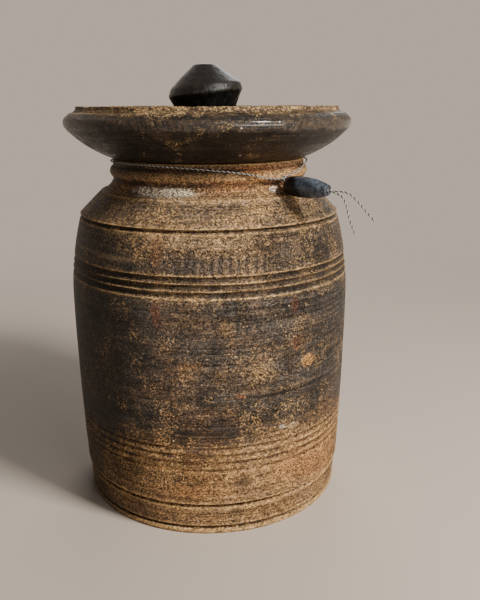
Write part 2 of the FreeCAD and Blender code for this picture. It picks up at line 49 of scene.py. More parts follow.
# %% [markdown]
# ## The camera
# The camera stands a little above the lid and looks down at the pot. Its place comes from the way
# the rims and rings open into ellipses, so it is given as a place, a pitch, a heading and a roll
# rather than as a point to look at. The lens is given for the long side of the picture.

# %% Place the camera
CAMERA_PLACE = (0.0198, -0.6547, 0.3618)
CAMERA_PITCH = math.radians(15.711)
CAMERA_HEADING = math.radians(0.741)
CAMERA_ROLL = math.radians(-0.227)
SENSOR_WIDTH = 36.0
LENS = 42.0

camera_data = bpy.data.cameras.new("camera")
camera_data.sensor_width = SENSOR_WIDTH
camera_data.lens = LENS
camera = bpy.data.objects.new("camera", camera_data)
scene.collection.objects.link(camera)
heading_turn = Matrix.Rotation(-CAMERA_HEADING, 3, "Z")
pitch_turn = Matrix.Rotation(math.pi / 2 - CAMERA_PITCH, 3, "X")
roll_turn = Matrix.Rotation(CAMERA_ROLL, 3, "Z")
camera.location = CAMERA_PLACE
camera.rotation_euler = (heading_turn @ pitch_turn @ roll_turn).to_euler()
scene.camera = camera
print("camera at", CAMERA_PLACE)

# %% [markdown]
# ## Helpers for node trees
# Geometry and shader trees are built the same way: add a node, set its options, then fill each
# input with a value or a link. One helper does all three, which keeps the trees readable. A second
# one does sums, because most patterns are sums of other patterns.

# %% Make node helpers
def add_node(tree, kind, inputs=None, **options):
    """Adds a node, sets its options, and fills or links its inputs by name or number."""
    made = tree.nodes.new(kind)
    for name, value in options.items():
        setattr(made, name, value)
    for key, value in (inputs or {}).items():
        if isinstance(value, bpy.types.NodeSocket):
            tree.links.new(value, made.inputs[key])
        else:
            made.inputs[key].default_value = value
    return made


def sum_of(tree, operation, *values, clamp=False):
    """The result of a Math node."""
    inputs = dict(enumerate(values))
    return add_node(tree, "ShaderNodeMath", inputs, operation=operation, use_clamp=clamp).outputs[0]


def vector_sum(tree, operation, *values):
    """The result of a Vector Math node, a number where the operation gives one."""
    keys = (0, "Scale") if operation == "SCALE" else range(len(values))
    made = add_node(tree, "ShaderNodeVectorMath", dict(zip(keys, values)), operation=operation)
    return made.outputs["Value" if operation in ("LENGTH", "DOT_PRODUCT") else "Vector"]


print("node helpers ready")

# %% [markdown]
# ## The route of the twine
# A thin twine is tied loosely round the neck. It hangs lowest where the bead pulls it down at the
# front right, and rides up under the lid behind. The route is a short list of points round the
# rolled rim. A NURBS line through such points bends evenly, as a slack twine does.

# %% Lay out the route of the loop
MILLIMETRE = 0.001
RIM_TOP = 0.315
RIM_BEAD_RADIUS = 0.0904
TWINE_DIAMETER = 0.0013

LOOP_ROUTE = [
    (42.9, 2.1, 14.0), (34.8, 2.2, 13.6), (24.0, 1.8, 8.9), (10.0, 0.2, 5.8), (-7.0, -0.4, 3.6),
    (-26.0, -0.1, 1.9), (-47.0, 0.1, 1.5), (-70.0, 0.0, 2.2), (-94.0, 0.2, 2.7), (-118.0, 0.0, 2.4),
    (-142.0, 0.1, 1.9), (-166.0, 0.0, 1.8), (170.0, 0.2, 2.2), (146.0, 0.0, 2.6), (122.0, 0.1, 2.4),
    (100.0, 0.1, 2.0), (81.0, 0.2, 2.4), (67.0, 0.9, 5.3), (56.0, 1.8, 9.4), (44.7, 2.2, 13.3),
]


def round_the_neck(bearing, standoff, drop):
    """A place from its bearing in degrees, its stand-off and its drop below the rim in mm."""
    turn = math.radians(bearing)
    reach = RIM_BEAD_RADIUS + standoff * MILLIMETRE
    return Vector((math.sin(turn) * reach, -math.cos(turn) * reach, RIM_TOP - drop * MILLIMETRE))


loop_points = [round_the_neck(*entry) for entry in LOOP_ROUTE]
print("loop route:", len(loop_points), "points")

# %% [markdown]
# The bead hangs outwards from the knot and droops a little. Its own directions, along, to the side
# and up, place the knots, the bead and the two free ends, so all of them stay in line.

# %% Lay out the bead and the free ends
BEAD_BEARING = math.radians(43.8)
BEAD_DROOP = math.radians(1.1)
BEAD_LENGTH = 0.044
BEAD_REACH = 0.09565
BEAD_LEVEL = 0.2961
STRAND_SPREAD = 0.00075
STRAND_TOP = 0.0048
BORE_MOUTH = -0.0011
NECK_KNOT_BACK = 0.0026
NECK_KNOT_LIFT = 0.0056
NECK_KNOT_RADIUS = 0.0025
TAIL_KNOT_RADIUS = 0.0021
TAIL_KNOT_GAP = 0.0002
TAIL_KNOT_REACH = BEAD_LENGTH + TAIL_KNOT_GAP + TAIL_KNOT_RADIUS

outward = Vector((math.sin(BEAD_BEARING), -math.cos(BEAD_BEARING), 0.0))
bead_along = outward * math.cos(BEAD_DROOP) - Vector((0, 0, math.sin(BEAD_DROOP)))
bead_side = Vector((math.cos(BEAD_BEARING), math.sin(BEAD_BEARING), 0.0))
bead_up = bead_along.cross(bead_side)
bead_near = outward * BEAD_REACH + Vector((0, 0, BEAD_LEVEL))

LONG_END_ROUTE = [
    (4.6, 1.3, 0.5), (10.5, 3.2, 0.2), (16.3, 5.3, 2.5), (22.0, 7.6, 8.4), (28.4, 9.8, 15.9),
    (34.3, 12.6, 22.2),
]
SHORT_END_ROUTE = [
    (6.8, 0.2, 1.5), (12.6, 0.6, 3.7), (15.4, 1.0, 9.0), (17.1, 1.8, 15.9), (19.6, 2.4, 23.9),
    (23.1, 3.5, 31.9),
]


def from_bead(forward, sideways, lift):
    """A place given in the bead's own directions, from its near end."""
    return bead_near + bead_along * forward + bead_side * sideways + bead_up * lift


def strand_points(route, sideways):
    """Out of the neck knot, through the bead and the tail knot, then free."""
    points = [
        from_bead(-NECK_KNOT_BACK, sideways, STRAND_TOP),
        from_bead(BORE_MOUTH, sideways, 0.0),
        from_bead(TAIL_KNOT_REACH, sideways, 0.0),
    ]
    knot = from_bead(TAIL_KNOT_REACH, 0, 0)
    for out, aside, down in route:
        step = outward * out * MILLIMETRE - Vector((0, 0, down * MILLIMETRE))
        points.append(knot + step + bead_side * (aside * MILLIMETRE + sideways))
    return points


long_end_points = strand_points(LONG_END_ROUTE, STRAND_SPREAD)
short_end_points = strand_points(SHORT_END_ROUTE, -STRAND_SPREAD)
print("bead from", tuple(round(v, 4) for v in bead_near))

# %% [markdown]
# Each route becomes an open NURBS line without any thickness. Its order is set after its points
# are in, so that it bends instead of running straight from point to point. The points of the
# evaluated line are what the two plies follow.

# %% Draw the routes as smooth lines
def smooth_line(name, points, closed=False):
    """Points along the NURBS line of a route, as Blender evaluates it."""
    curve = bpy.data.curves.new(name, "CURVE")
    curve.dimensions = "3D"
    spline = curve.splines.new("NURBS")
    spline.points.add(len(points) - 1)
    for control, place in zip(spline.points, points):
        control.co = (*place, 1.0)
    spline.order_u = 3
    spline.use_endpoint_u = not closed
    spline.use_cyclic_u = closed
    spline.resolution_u = 20
    holder = bpy.data.objects.new(name, curve)
    scene.collection.objects.link(holder)
    bpy.context.view_layer.update()
    graph = bpy.context.evaluated_depsgraph_get()
    mesh = bpy.data.meshes.new_from_object(holder.evaluated_get(graph))
    line = [vertex.co.copy() for vertex in mesh.vertices]
    bpy.data.objects.remove(holder)
    bpy.data.meshes.remove(mesh)
    return line


def line_length(line):
    """The length of a line given as points."""
    return sum((after - before).length for before, after in zip(line, line[1:]))


loop_line = smooth_line("loop_route", loop_points)
long_end_line = smooth_line("long_end_route", long_end_points)
short_end_line = smooth_line("short_end_route", short_end_points)
for name, line in (("loop", loop_line), ("long end", long_end_line), ("short end", short_end_line)):
    print(name, "%.4f m in %d points" % (line_length(line), len(line)))

# %% [markdown]
# ## Two plies laid together
# The twine is one dark ply and one pale ply laid round each other, which gives its dashed look. A
# Geometry Nodes tree lays them: it resamples the line, pushes each point off the line by a turning
# vector, and sweeps a small circle along the result, once for each ply. The same tree serves the
# loop, both ends and the knots, with the length of one turn as an input.

# %% Build the tree that lays the twine
TURN_LENGTH = 0.0042
POINTS_A_TURN = 11.0


def new_geometry_tree(name, sockets):
    """An empty geometry tree with one geometry in and out, and the named inputs."""
    tree = bpy.data.node_groups.new(name, "GeometryNodeTree")
    tree.interface.new_socket("Geometry", in_out="INPUT", socket_type="NodeSocketGeometry")
    tree.interface.new_socket("Geometry", in_out="OUTPUT", socket_type="NodeSocketGeometry")
    for label, kind, value in sockets:
        socket = tree.interface.new_socket(label, in_out="INPUT", socket_type=kind)
        if value is not None:
            socket.default_value = value
    return tree


def build_twine_tree():
    """Lays two plies round the line that comes in."""
    tree = new_geometry_tree("lay_twine", [
        ("Turn Length", "NodeSocketFloat", TURN_LENGTH),
        ("Ply Offset", "NodeSocketFloat", 0.00029),
        ("Ply Radius", "NodeSocketFloat", 0.00036),
        ("Sides", "NodeSocketInt", 7),
        ("Dark Ply", "NodeSocketMaterial", None),
        ("Pale Ply", "NodeSocketMaterial", None),
    ])
    given = add_node(tree, "NodeGroupInput").outputs
    curve = add_node(tree, "GeometryNodeMeshToCurve", {"Mesh": given["Geometry"]}).outputs["Curve"]
    step = sum_of(tree, "DIVIDE", given["Turn Length"], POINTS_A_TURN)
    resample = add_node(tree, "GeometryNodeResampleCurve", {"Curve": curve, "Length": step},
                        mode="LENGTH")
    normal = add_node(tree, "GeometryNodeInputNormal").outputs["Normal"]
    tangent = add_node(tree, "GeometryNodeInputTangent").outputs["Tangent"]
    across = vector_sum(tree, "CROSS_PRODUCT", tangent, normal)
    travelled = add_node(tree, "GeometryNodeSplineParameter").outputs["Length"]
    turns = sum_of(tree, "DIVIDE", travelled, given["Turn Length"])
    circle = add_node(tree, "GeometryNodeCurvePrimitiveCircle",
                      {"Resolution": given["Sides"], "Radius": given["Ply Radius"]}).outputs["Curve"]
    joined = add_node(tree, "GeometryNodeJoinGeometry")
    for phase, ply in ((0.0, "Dark Ply"), (0.5, "Pale Ply")):
        angle = sum_of(tree, "MULTIPLY", sum_of(tree, "ADD", turns, phase), 2 * math.pi)
        push = vector_sum(tree, "ADD",
                          vector_sum(tree, "SCALE", normal, sum_of(tree, "COSINE", angle)),
                          vector_sum(tree, "SCALE", across, sum_of(tree, "SINE", angle)))
        push = vector_sum(tree, "SCALE", push, given["Ply Offset"])
        laid = add_node(tree, "GeometryNodeSetPosition",
                        {"Geometry": resample.outputs["Curve"], "Offset": push})
        marked = add_node(tree, "GeometryNodeStoreNamedAttribute",
                          {"Geometry": laid.outputs[0], "Name": "travelled", "Value": travelled},
                          data_type="FLOAT", domain="POINT")
        swept = add_node(tree, "GeometryNodeCurveToMesh",
                         {"Curve": marked.outputs[0], "Profile Curve": circle, "Fill Caps": True})
        painted = add_node(tree, "GeometryNodeSetMaterial",
                           {"Geometry": swept.outputs[0], "Material": given[ply]})
        tree.links.new(painted.outputs[0], joined.inputs[0])
    whole = add_node(tree, "GeometryNodeRealizeInstances", {"Geometry": joined.outputs[0]})
    smooth = add_node(tree, "GeometryNodeSetShadeSmooth", {"Geometry": whole.outputs[0]})
    add_node(tree, "NodeGroupOutput", {"Geometry": smooth.outputs[0]})
    return tree


twine_tree = build_twine_tree()
print("lay_twine has", len(twine_tree.nodes), "nodes")

# %% [markdown]
# A modifier's inputs are set by each socket's identifier. The result is taken as a plain mesh and
# the modifier is removed, so that what rides on the model later is an ordinary mesh.

# %% Run a tree on points
def run_tree(name, tree, start_mesh, values):
    """Runs a geometry tree once over a mesh and returns the result as a plain object."""
    holder = bpy.data.objects.new(name, start_mesh)
    scene.collection.objects.link(holder)
    modifier = holder.modifiers.new("build", "NODES")
    modifier.node_group = tree
    for item in tree.interface.items_tree:
        if item.item_type == "SOCKET" and item.in_out == "INPUT" and item.name in values:
            modifier[item.identifier] = values[item.name]
    bpy.context.view_layer.update()
    graph = bpy.context.evaluated_depsgraph_get()
    made = bpy.data.meshes.new_from_object(holder.evaluated_get(graph))
    holder.modifiers.remove(modifier)
    made.name = name
    old = holder.data
    holder.data = made
    bpy.data.meshes.remove(old)
    return holder


def line_mesh(name, line, closed=False):
    """A mesh of edges only, from one point of a line to the next."""
    mesh = bpy.data.meshes.new(name)
    edges = [(number, number + 1) for number in range(len(line) - 1)]
    if closed:
        edges.append((len(line) - 1, 0))
    mesh.from_pydata([tuple(point) for point in line], edges, [])
    return mesh


dark_ply = bpy.data.materials.new("dark_ply")
pale_ply = bpy.data.materials.new("pale_ply")


def lay_twine(name, line, turn_length=TURN_LENGTH, closed=False):
    """Two-ply twine along a line."""
    twine = run_tree(name, twine_tree, line_mesh(name, line, closed),
                     {"Turn Length": turn_length, "Dark Ply": dark_ply, "Pale Ply": pale_ply})
    print(name, len(twine.data.polygons), "faces")
    return twine


twine_loop = lay_twine("twine_loop", loop_line)
twine_long_end = lay_twine("twine_long_end", long_end_line)
twine_short_end = lay_twine("twine_short_end", short_end_line)

# %% [markdown]
# ## The knots
# The knots are real ones: an overhand knot is a trefoil pulled small. A few points on a trefoil
# make a closed line, and the same tree lays the twine along it. One such knot is the hitch at the
# bead's near end, and a smaller one stops the bead at its far end.

# %% Tie the knots
TREFOIL_POINTS = 18
TREFOIL_REACH = 3.0
TREFOIL_DEPTH = 1.15
KNOT_TURN_LENGTH = 0.0040


def knot_line(name, centre, reach, tilt):
    """A trefoil line round a centre, no further from it than reach."""
    points = []
    for number in range(TREFOIL_POINTS):
        angle = 2 * math.pi * number / TREFOIL_POINTS
        place = Vector((
            math.sin(angle) + 2 * math.sin(2 * angle),
            math.cos(angle) - 2 * math.cos(2 * angle),
            -TREFOIL_DEPTH * math.sin(3 * angle),
        ))
        points.append(centre + tilt @ (place * (reach - TWINE_DIAMETER / 2) / TREFOIL_REACH))
    return smooth_line(name, points, closed=True)


def tie_knot(name, centre, reach, tilt):
    """A knot of two-ply twine, with a whole number of turns in it."""
    line = knot_line(name + "_route", centre, reach, tilt)
    around = line_length(line) + (line[-1] - line[0]).length
    return lay_twine(name, line, around / round(around / KNOT_TURN_LENGTH), closed=True)


neck_tilt = Matrix.Rotation(math.radians(50), 3, "X") @ Matrix.Rotation(math.radians(30), 3, "Z")
neck_place = from_bead(-NECK_KNOT_BACK, 0, NECK_KNOT_LIFT)
neck_knot = tie_knot("neck_knot_twine", neck_place, NECK_KNOT_RADIUS, neck_tilt)
tail_tilt = Matrix.Rotation(math.radians(75), 3, "Y") @ Matrix.Rotation(math.radians(15), 3, "Z")
tail_place = from_bead(TAIL_KNOT_REACH, 0, 0)
tail_knot = tie_knot("tail_knot_twine", tail_place, TAIL_KNOT_RADIUS, tail_tilt)

# %% [markdown]
# Each length of twine stands for the plain tube in the model, which is hidden. All of it rides on
# the body that turns round the neck.

for piece, node in ((twine_loop, "cord_loop"), (twine_long_end, "strand_long"),
                    (twine_short_end, "strand_short"), (neck_knot, "neck_knot"),
                    (tail_knot, "tail_knot")):
    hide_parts(node)
    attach(piece, "neck_twine")

# %% [markdown]
# ## Turned pieces
# The pot and the lid are turned on a lathe, so each is one outline carried round the axis. The
# outline is written as corners, each with the kind of run that leaves it: a straight line, an arc
# that starts or ends upright, or an arc of a given radius. Points are then spaced along the runs,
# closer together where rings are cut. Lengths are in millimetres here and become metres at the end.

# %% Sample an outline
def arc_centre(start, end, run):
    """The centre of the arc that leaves a corner."""
    middle = (start + end) / 2
    along = end - start
    if run[0] == "bend":
        across = np.array([-along[1], along[0]]) / np.hypot(*along)
        reach = math.sqrt(run[1] ** 2 - (np.hypot(*along) / 2) ** 2)
        return middle + across * reach * run[2]
    level = start[1] if run[0] == "leaves upright" else end[1]
    return np.array([middle[0] + (middle[1] - level) * along[1] / along[0], level])


def run_points(start, end, run, spacing):
    """Points along one run, its last point left out."""
    if run == "line":
        count = max(1, round(np.hypot(*(end - start)) / spacing))
        return [start + (end - start) * number / count for number in range(count)]
    centre = arc_centre(start, end, run)
    radius = np.hypot(*(start - centre))
    first = math.atan2(*(start - centre)[::-1])
    turn = (math.atan2(*(end - centre)[::-1]) - first + math.pi) % (2 * math.pi) - math.pi
    count = max(2, round(abs(turn) * radius / spacing))
    angles = [first + turn * number / count for number in range(count)]
    return [centre + radius * np.array([math.cos(a), math.sin(a)]) for a in angles]


def outline_points(corners):
    """The whole outline as points, from corners of (width, height, run, spacing)."""
    places = [np.array(corner[:2], float) for corner in corners]
    points = []
    for number in range(len(corners) - 1):
        points += run_points(places[number], places[number + 1], *corners[number][2:])
    return np.array(points + [places[-1]])


print("sampler ready")

# %% [markdown]
# Old wood has no sharp corners left. Averaging each point with its neighbours over a millimetre
# rounds every arris the way handling does. Comparing each point with a wider average then tells
# where the outline stands proud and where it is hollow, and both become attributes that the
# finishes read for worn and dirty places.

# %% Soften an outline and find its ridges and hollows
RIDGE_REACH = 2.2
GROOVE_REACH = 6.0


def travelled_along(points):
    """How far along the outline each point lies."""
    steps = np.hypot(*np.diff(points, axis=0).T)
    return np.concatenate([[0.0], np.cumsum(steps)])


def average_over(points, travelled, reach):
    """Each point's weighted average with its neighbours within about reach."""
    spacing = np.gradient(travelled)
    away = (travelled[:, None] - travelled[None, :]) / reach
    weights = np.exp(-0.5 * away ** 2) * spacing[None, :]
    return (weights / weights.sum(1, keepdims=True)) @ points


def outward_normals(points):
    """The direction away from the wood at each point."""
    along = np.gradient(points, axis=0)
    normals = np.stack([along[:, 1], -along[:, 0]], 1)
    return normals / np.maximum(np.hypot(*normals.T), 1e-9)[:, None]


def proudness(points, travelled, reach):
    """How far each point stands out of the wider shape, in millimetres."""
    return ((points - average_over(points, travelled, reach)) * outward_normals(points)).sum(1)


def store_number(mesh, name, values):
    """Stores one number for each point of a mesh."""
    mesh.attributes.new(name, "FLOAT", "POINT").data.foreach_set("value", values)


def outline_mesh(name, points, softness):
    """The outline as a line of edges in the XZ plane, with its attributes, in metres."""
    travelled = travelled_along(points)
    soft = average_over(points, travelled, softness)
    soft[0], soft[-1] = points[0], points[-1]
    mesh = line_mesh(name, [(x * MILLIMETRE, 0.0, z * MILLIMETRE) for x, z in soft])
    for label, values in (("travelled", travelled * MILLIMETRE),
                          ("proud", proudness(soft, travelled, RIDGE_REACH)),
                          ("proud_wide", proudness(soft, travelled, GROOVE_REACH))):
        store_number(mesh, label, values)
    normals = outward_normals(soft)
    facing = np.stack([normals[:, 0], np.zeros(len(normals)), normals[:, 1]], 1)
    stored = mesh.attributes.new("facing", "FLOAT_VECTOR", "POINT")
    stored.data.foreach_set("vector", facing.ravel())
    print(name, len(points), "points over %.0f mm" % travelled[-1])
    return mesh


print("outline helpers ready")

# %% [markdown]
# ## The lathe
# The lathe is a Geometry Nodes tree. A grid has one column for each point of the outline and one
# row for each step round the axis. Every grid point looks up its outline point, swings it round
# the axis and carries the attributes over. Small helpers look values up, swing them round and make
# noise.

# %% Make helpers for the lathe
def look_up(tree, outline, kind, value, column):
    """A value of the outline at the point that a column stands for."""
    made = add_node(tree, "GeometryNodeSampleIndex", {"Geometry": outline, "Index": column},
                    data_type=kind, domain="POINT", clamp=True)
    tree.links.new(value, made.inputs["Value"])
    return made.outputs["Value"]


def named(tree, name, kind="FLOAT"):
    """A named attribute as a value."""
    made = add_node(tree, "GeometryNodeInputNamedAttribute", {"Name": name}, data_type=kind)
    return made.outputs["Attribute"]


def swung_round(tree, vector, angle):
    """A vector turned round the axis."""
    return add_node(tree, "ShaderNodeVectorRotate", {"Vector": vector, "Angle": angle},
                    rotation_type="Z_AXIS").outputs[0]


def tool_noise(tree, place, scale, seed, detail=2.0):
    """Noise from 0 to 1 at a stretched place, its seed a shift in space."""
    stretched = vector_sum(tree, "MULTIPLY", place, scale)
    shift = add_node(tree, "ShaderNodeCombineXYZ", {"X": seed, "Y": seed, "Z": seed}).outputs[0]
    shifted = vector_sum(tree, "ADD", stretched, shift)
    made = add_node(tree, "ShaderNodeTexNoise", {"Vector": shifted, "Scale": 1.0, "Detail": detail})
    return made.outputs[0]


print("lathe helpers ready")

# %% [markdown]
# Three steps make the turned surface more than a plain sweep. Noise along the outline cuts shallow
# tool marks, always into the wood, so the piece never grows. A slow wobble makes it a little
# uneven, as old turned wood is. Last, in a band low on the wall the rings are worn: in patches
# their hollows come up again, and what the finishes read about them fades as well.

# %% Wear the rings and mark the wood
def rings_kept(tree, place, height, given):
    """The share of the rings that is left: 1 everywhere but in worn patches of the lower band."""
    patches = tool_noise(tree, place, (24.0, 24.0, 30.0), sum_of(tree, "ADD", given["Seed"], 4.0))
    rubbed = sum_of(tree, "MULTIPLY_ADD", patches, 5.0, -2.2, clamp=True)
    low_down = sum_of(tree, "MULTIPLY_ADD", height, -100.0, 10.5, clamp=True)
    above_foot = sum_of(tree, "MULTIPLY_ADD", height, 100.0, -4.5, clamp=True)
    rubbed = sum_of(tree, "MULTIPLY", rubbed, sum_of(tree, "MULTIPLY", low_down, above_foot))
    worn_away = sum_of(tree, "MULTIPLY", given["Ring Wear"], -1.0)
    return sum_of(tree, "MULTIPLY_ADD", rubbed, worn_away, 1.0)


def tool_depth(tree, place, given):
    """How deep the wobble and the tool marks go into the wood."""
    wobble = tool_noise(tree, place, (9.0, 9.0, 14.0), given["Seed"], detail=1.0)
    chatter = tool_noise(tree, place, (7.0, 7.0, 420.0), given["Seed"], detail=1.0)
    return sum_of(tree, "ADD", sum_of(tree, "MULTIPLY", wobble, given["Wobble Depth"]),
                  sum_of(tree, "MULTIPLY", chatter, given["Tool Mark Depth"]))


def worn_height(tree, outline, column, kept):
    """How far the hollow of a worn ring comes up again."""
    wide = look_up(tree, outline, "FLOAT", named(tree, "proud_wide"), column)
    hollow = sum_of(tree, "MAXIMUM", 0.0, sum_of(tree, "MULTIPLY", -MILLIMETRE, wide))
    return sum_of(tree, "MULTIPLY", hollow, sum_of(tree, "SUBTRACT", 1.0, kept))


print("wear ready")

# %% [markdown]
# The tree itself lays out the grid, swings the outline round it and pushes each point inwards by
# its depth. The lowest points stay where they are, so that the foot stays flat. The seam and the
# points on the axis close by merging.

# %% Build the lathe tree
SEAM_GAP = 0.00002


def lathe_grid(tree, outline, steps_round):
    """The grid, and each grid point's column and its angle round the axis."""
    count = add_node(tree, "GeometryNodeAttributeDomainSize",
                     {"Geometry": outline}).outputs["Point Count"]
    rows = sum_of(tree, "ADD", steps_round, 1.0)
    grid = add_node(tree, "GeometryNodeMeshGrid",
                    {"Size X": 1.0, "Size Y": 1.0, "Vertices X": count, "Vertices Y": rows})
    position = add_node(tree, "GeometryNodeInputPosition").outputs[0]
    spot = add_node(tree, "ShaderNodeSeparateXYZ", {0: position}).outputs
    last = sum_of(tree, "SUBTRACT", count, 1.0)
    across = sum_of(tree, "MULTIPLY", sum_of(tree, "ADD", spot["X"], 0.5), last)
    angle = sum_of(tree, "MULTIPLY", spot["Y"], 2 * math.pi)
    return grid.outputs["Mesh"], sum_of(tree, "ROUND", across), angle


def build_lathe_tree():
    """Carries an outline round the axis and marks the wood as a tool does."""
    tree = new_geometry_tree("turn_on_lathe", [
        ("Steps Round", "NodeSocketInt", 200),
        ("Wobble Depth", "NodeSocketFloat", 0.0005),
        ("Tool Mark Depth", "NodeSocketFloat", 0.0002),
        ("Ring Wear", "NodeSocketFloat", 0.0),
        ("Seed", "NodeSocketFloat", 1.0),
        ("Finish", "NodeSocketMaterial", None),
    ])
    given = add_node(tree, "NodeGroupInput").outputs
    outline = given["Geometry"]
    geometry, column, angle = lathe_grid(tree, outline, given["Steps Round"])
    position = add_node(tree, "GeometryNodeInputPosition").outputs[0]
    facing = named(tree, "facing", "FLOAT_VECTOR")
    place = swung_round(tree, look_up(tree, outline, "FLOAT_VECTOR", position, column), angle)
    outwards = swung_round(tree, look_up(tree, outline, "FLOAT_VECTOR", facing, column), angle)
    height = add_node(tree, "ShaderNodeSeparateXYZ", {0: place}).outputs["Z"]
    kept = rings_kept(tree, place, height, given)
    travelled = look_up(tree, outline, "FLOAT", named(tree, "travelled"), column)
    proud = look_up(tree, outline, "FLOAT", named(tree, "proud"), column)
    for label, value in (("travelled", travelled),
                         ("proud", sum_of(tree, "MULTIPLY", proud, kept))):
        geometry = add_node(tree, "GeometryNodeStoreNamedAttribute",
                            {"Geometry": geometry, "Name": label, "Value": value},
                            data_type="FLOAT", domain="POINT").outputs[0]
    depth = sum_of(tree, "SUBTRACT", tool_depth(tree, place, given),
                   worn_height(tree, outline, column, kept))
    above_ground = sum_of(tree, "MULTIPLY", height, 500.0, clamp=True)
    push = sum_of(tree, "MULTIPLY", sum_of(tree, "MULTIPLY", depth, above_ground), -1.0)
    moved = vector_sum(tree, "ADD", place, vector_sum(tree, "SCALE", outwards, push))
    shaped = add_node(tree, "GeometryNodeSetPosition", {"Geometry": geometry, "Position": moved})
    merged = add_node(tree, "GeometryNodeMergeByDistance",
                      {"Geometry": shaped.outputs[0], "Distance": SEAM_GAP})
    smooth = add_node(tree, "GeometryNodeSetShadeSmooth", {"Geometry": merged.outputs[0]})
    whole = add_node(tree, "GeometryNodeRealizeInstances", {"Geometry": smooth.outputs[0]})
    painted = add_node(tree, "GeometryNodeSetMaterial",
                       {"Geometry": whole.outputs[0], "Material": given["Finish"]})
    add_node(tree, "NodeGroupOutput", {"Geometry": painted.outputs[0]})
    return tree


lathe_tree = build_lathe_tree()
print("turn_on_lathe has", len(lathe_tree.nodes), "nodes")

# %% [markdown]
# A turned outline comes out inside out when it was drawn the other way round. The volume that the
# faces enclose tells, because it is negative when they point inwards. The same check counts the
# edges that don't join two faces, which a closed piece has none of.

# %% Check that faces point outwards
def face_outwards(piece):
    """Turns the faces outwards if the enclosed volume comes out negative."""
    work = bmesh.new()
    work.from_mesh(piece.data)
    if work.calc_volume(signed=True) < 0:
        bmesh.ops.reverse_faces(work, faces=work.faces)
        work.to_mesh(piece.data)
    loose = sum(1 for edge in work.edges if not edge.is_manifold)
    volume = work.calc_volume() * 1e6
    print(piece.name, len(work.faces), "faces,", loose, "open edges, %.0f cm3" % volume)
    work.free()


print("face check ready")

# %% [markdown]
# ## The pot
# The corners below are the model's own: foot groove, base band, skirt groove, belly, shoulder ridge,
# flare, rolled rim, then down the inside. The two bands of rings are cut into the sampled points
# afterwards, as rounded hollows between narrow ridges, with one thin line on the shoulder slope.

# %% Turn the pot
POT_CORNERS = [
    (0.0, 0.0, "line", 15.0), (120.8, 0.0, "line", 0.7), (122.2, 1.4, "line", 0.9),
    (122.2, 4.7, "line", 0.7), (119.0, 6.2, "line", 0.7), (122.2, 7.7, "line", 1.2),
    (123.8, 26.7, "line", 0.7), (120.2, 28.4, "line", 0.7),
    (125.0, 30.1, ("arrives upright",), 0.95), (129.4, 190.0, ("leaves upright",), 0.75),
    (119.1, 263.6, "line", 0.6), (116.3, 265.4, "line", 0.6), (119.1, 267.2, "line", 0.9),
    (98.4, 287.6, ("bend", 14.0, -1), 0.7), (88.4, 295.5, "line", 0.6), (87.3, 297.4, "line", 0.6),
    (88.4, 299.2, ("arrives upright",), 0.6), (90.4, 303.8, ("leaves upright",), 0.7),
    (87.3, 309.4, "line", 0.9), (87.3, 314.2, "line", 0.6), (86.5, 315.0, "line", 2.0),
    (72.8, 315.0, "line", 0.6), (72.0, 314.2, "line", 6.0), (72.0, 287.6, "line", 6.0),
    (103.1, 257.0, ("arrives upright",), 7.0), (113.4, 190.0, ("leaves upright",), 12.0),
    (109.0, 34.0, ("leaves upright",), 3.0), (95.0, 20.0, "line", 14.0), (0.0, 20.0, "line", 1.0),
]
UPPER_RINGS = [(level, 2.5, 2.1) for level in (228.7, 222.75, 216.8)]
LOWER_RINGS = [(level, 1.6, 1.3) for level in (83.6, 76.8, 70.0, 63.2)]
SLOPE_LINE = (285.3, 0.7, 0.6)
ARRIS_SOFTNESS = 0.55
BELLY_SIDE = 120.0
SLOPE_SIDE = 98.0


def cut_ring_lines(points, rings, innermost):
    """Cuts rounded hollows of (level, half width, depth) into the outside of an outline."""
    cut = points.copy()
    outside = points[:, 0] > innermost
    for level, half, depth in rings:
        away = np.clip(np.abs(points[:, 1] - level) / half, 0, 1)
        cut[:, 0] -= np.where(outside, depth * (1 - away ** 2), 0)
    return cut


pot_outline = outline_points(POT_CORNERS)
pot_outline = cut_ring_lines(pot_outline, UPPER_RINGS + LOWER_RINGS, BELLY_SIDE)
pot_outline = cut_ring_lines(pot_outline, [SLOPE_LINE], SLOPE_SIDE)
pot_finish = bpy.data.materials.new("patinated_wood")
pot = run_tree("turned_pot", lathe_tree, outline_mesh("pot_outline", pot_outline, ARRIS_SOFTNESS),
               {"Steps Round": 190, "Wobble Depth": 0.0007, "Tool Mark Depth": 0.0003,
                "Ring Wear": 0.85, "Seed": 3.0, "Finish": pot_finish})
face_outwards(pot)
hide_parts("pot_body")
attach(pot, "pot")

# %% [markdown]
# ## The lid
# The lid comes off the same lathe. Its outline runs from the hollow inside the spigot, out along the
# swelling underside to the widest line, over the shoulder and the cove to a thin lip, and back down
# into the dish. The lip has small chips, so its top points are pressed down where a noise is high.

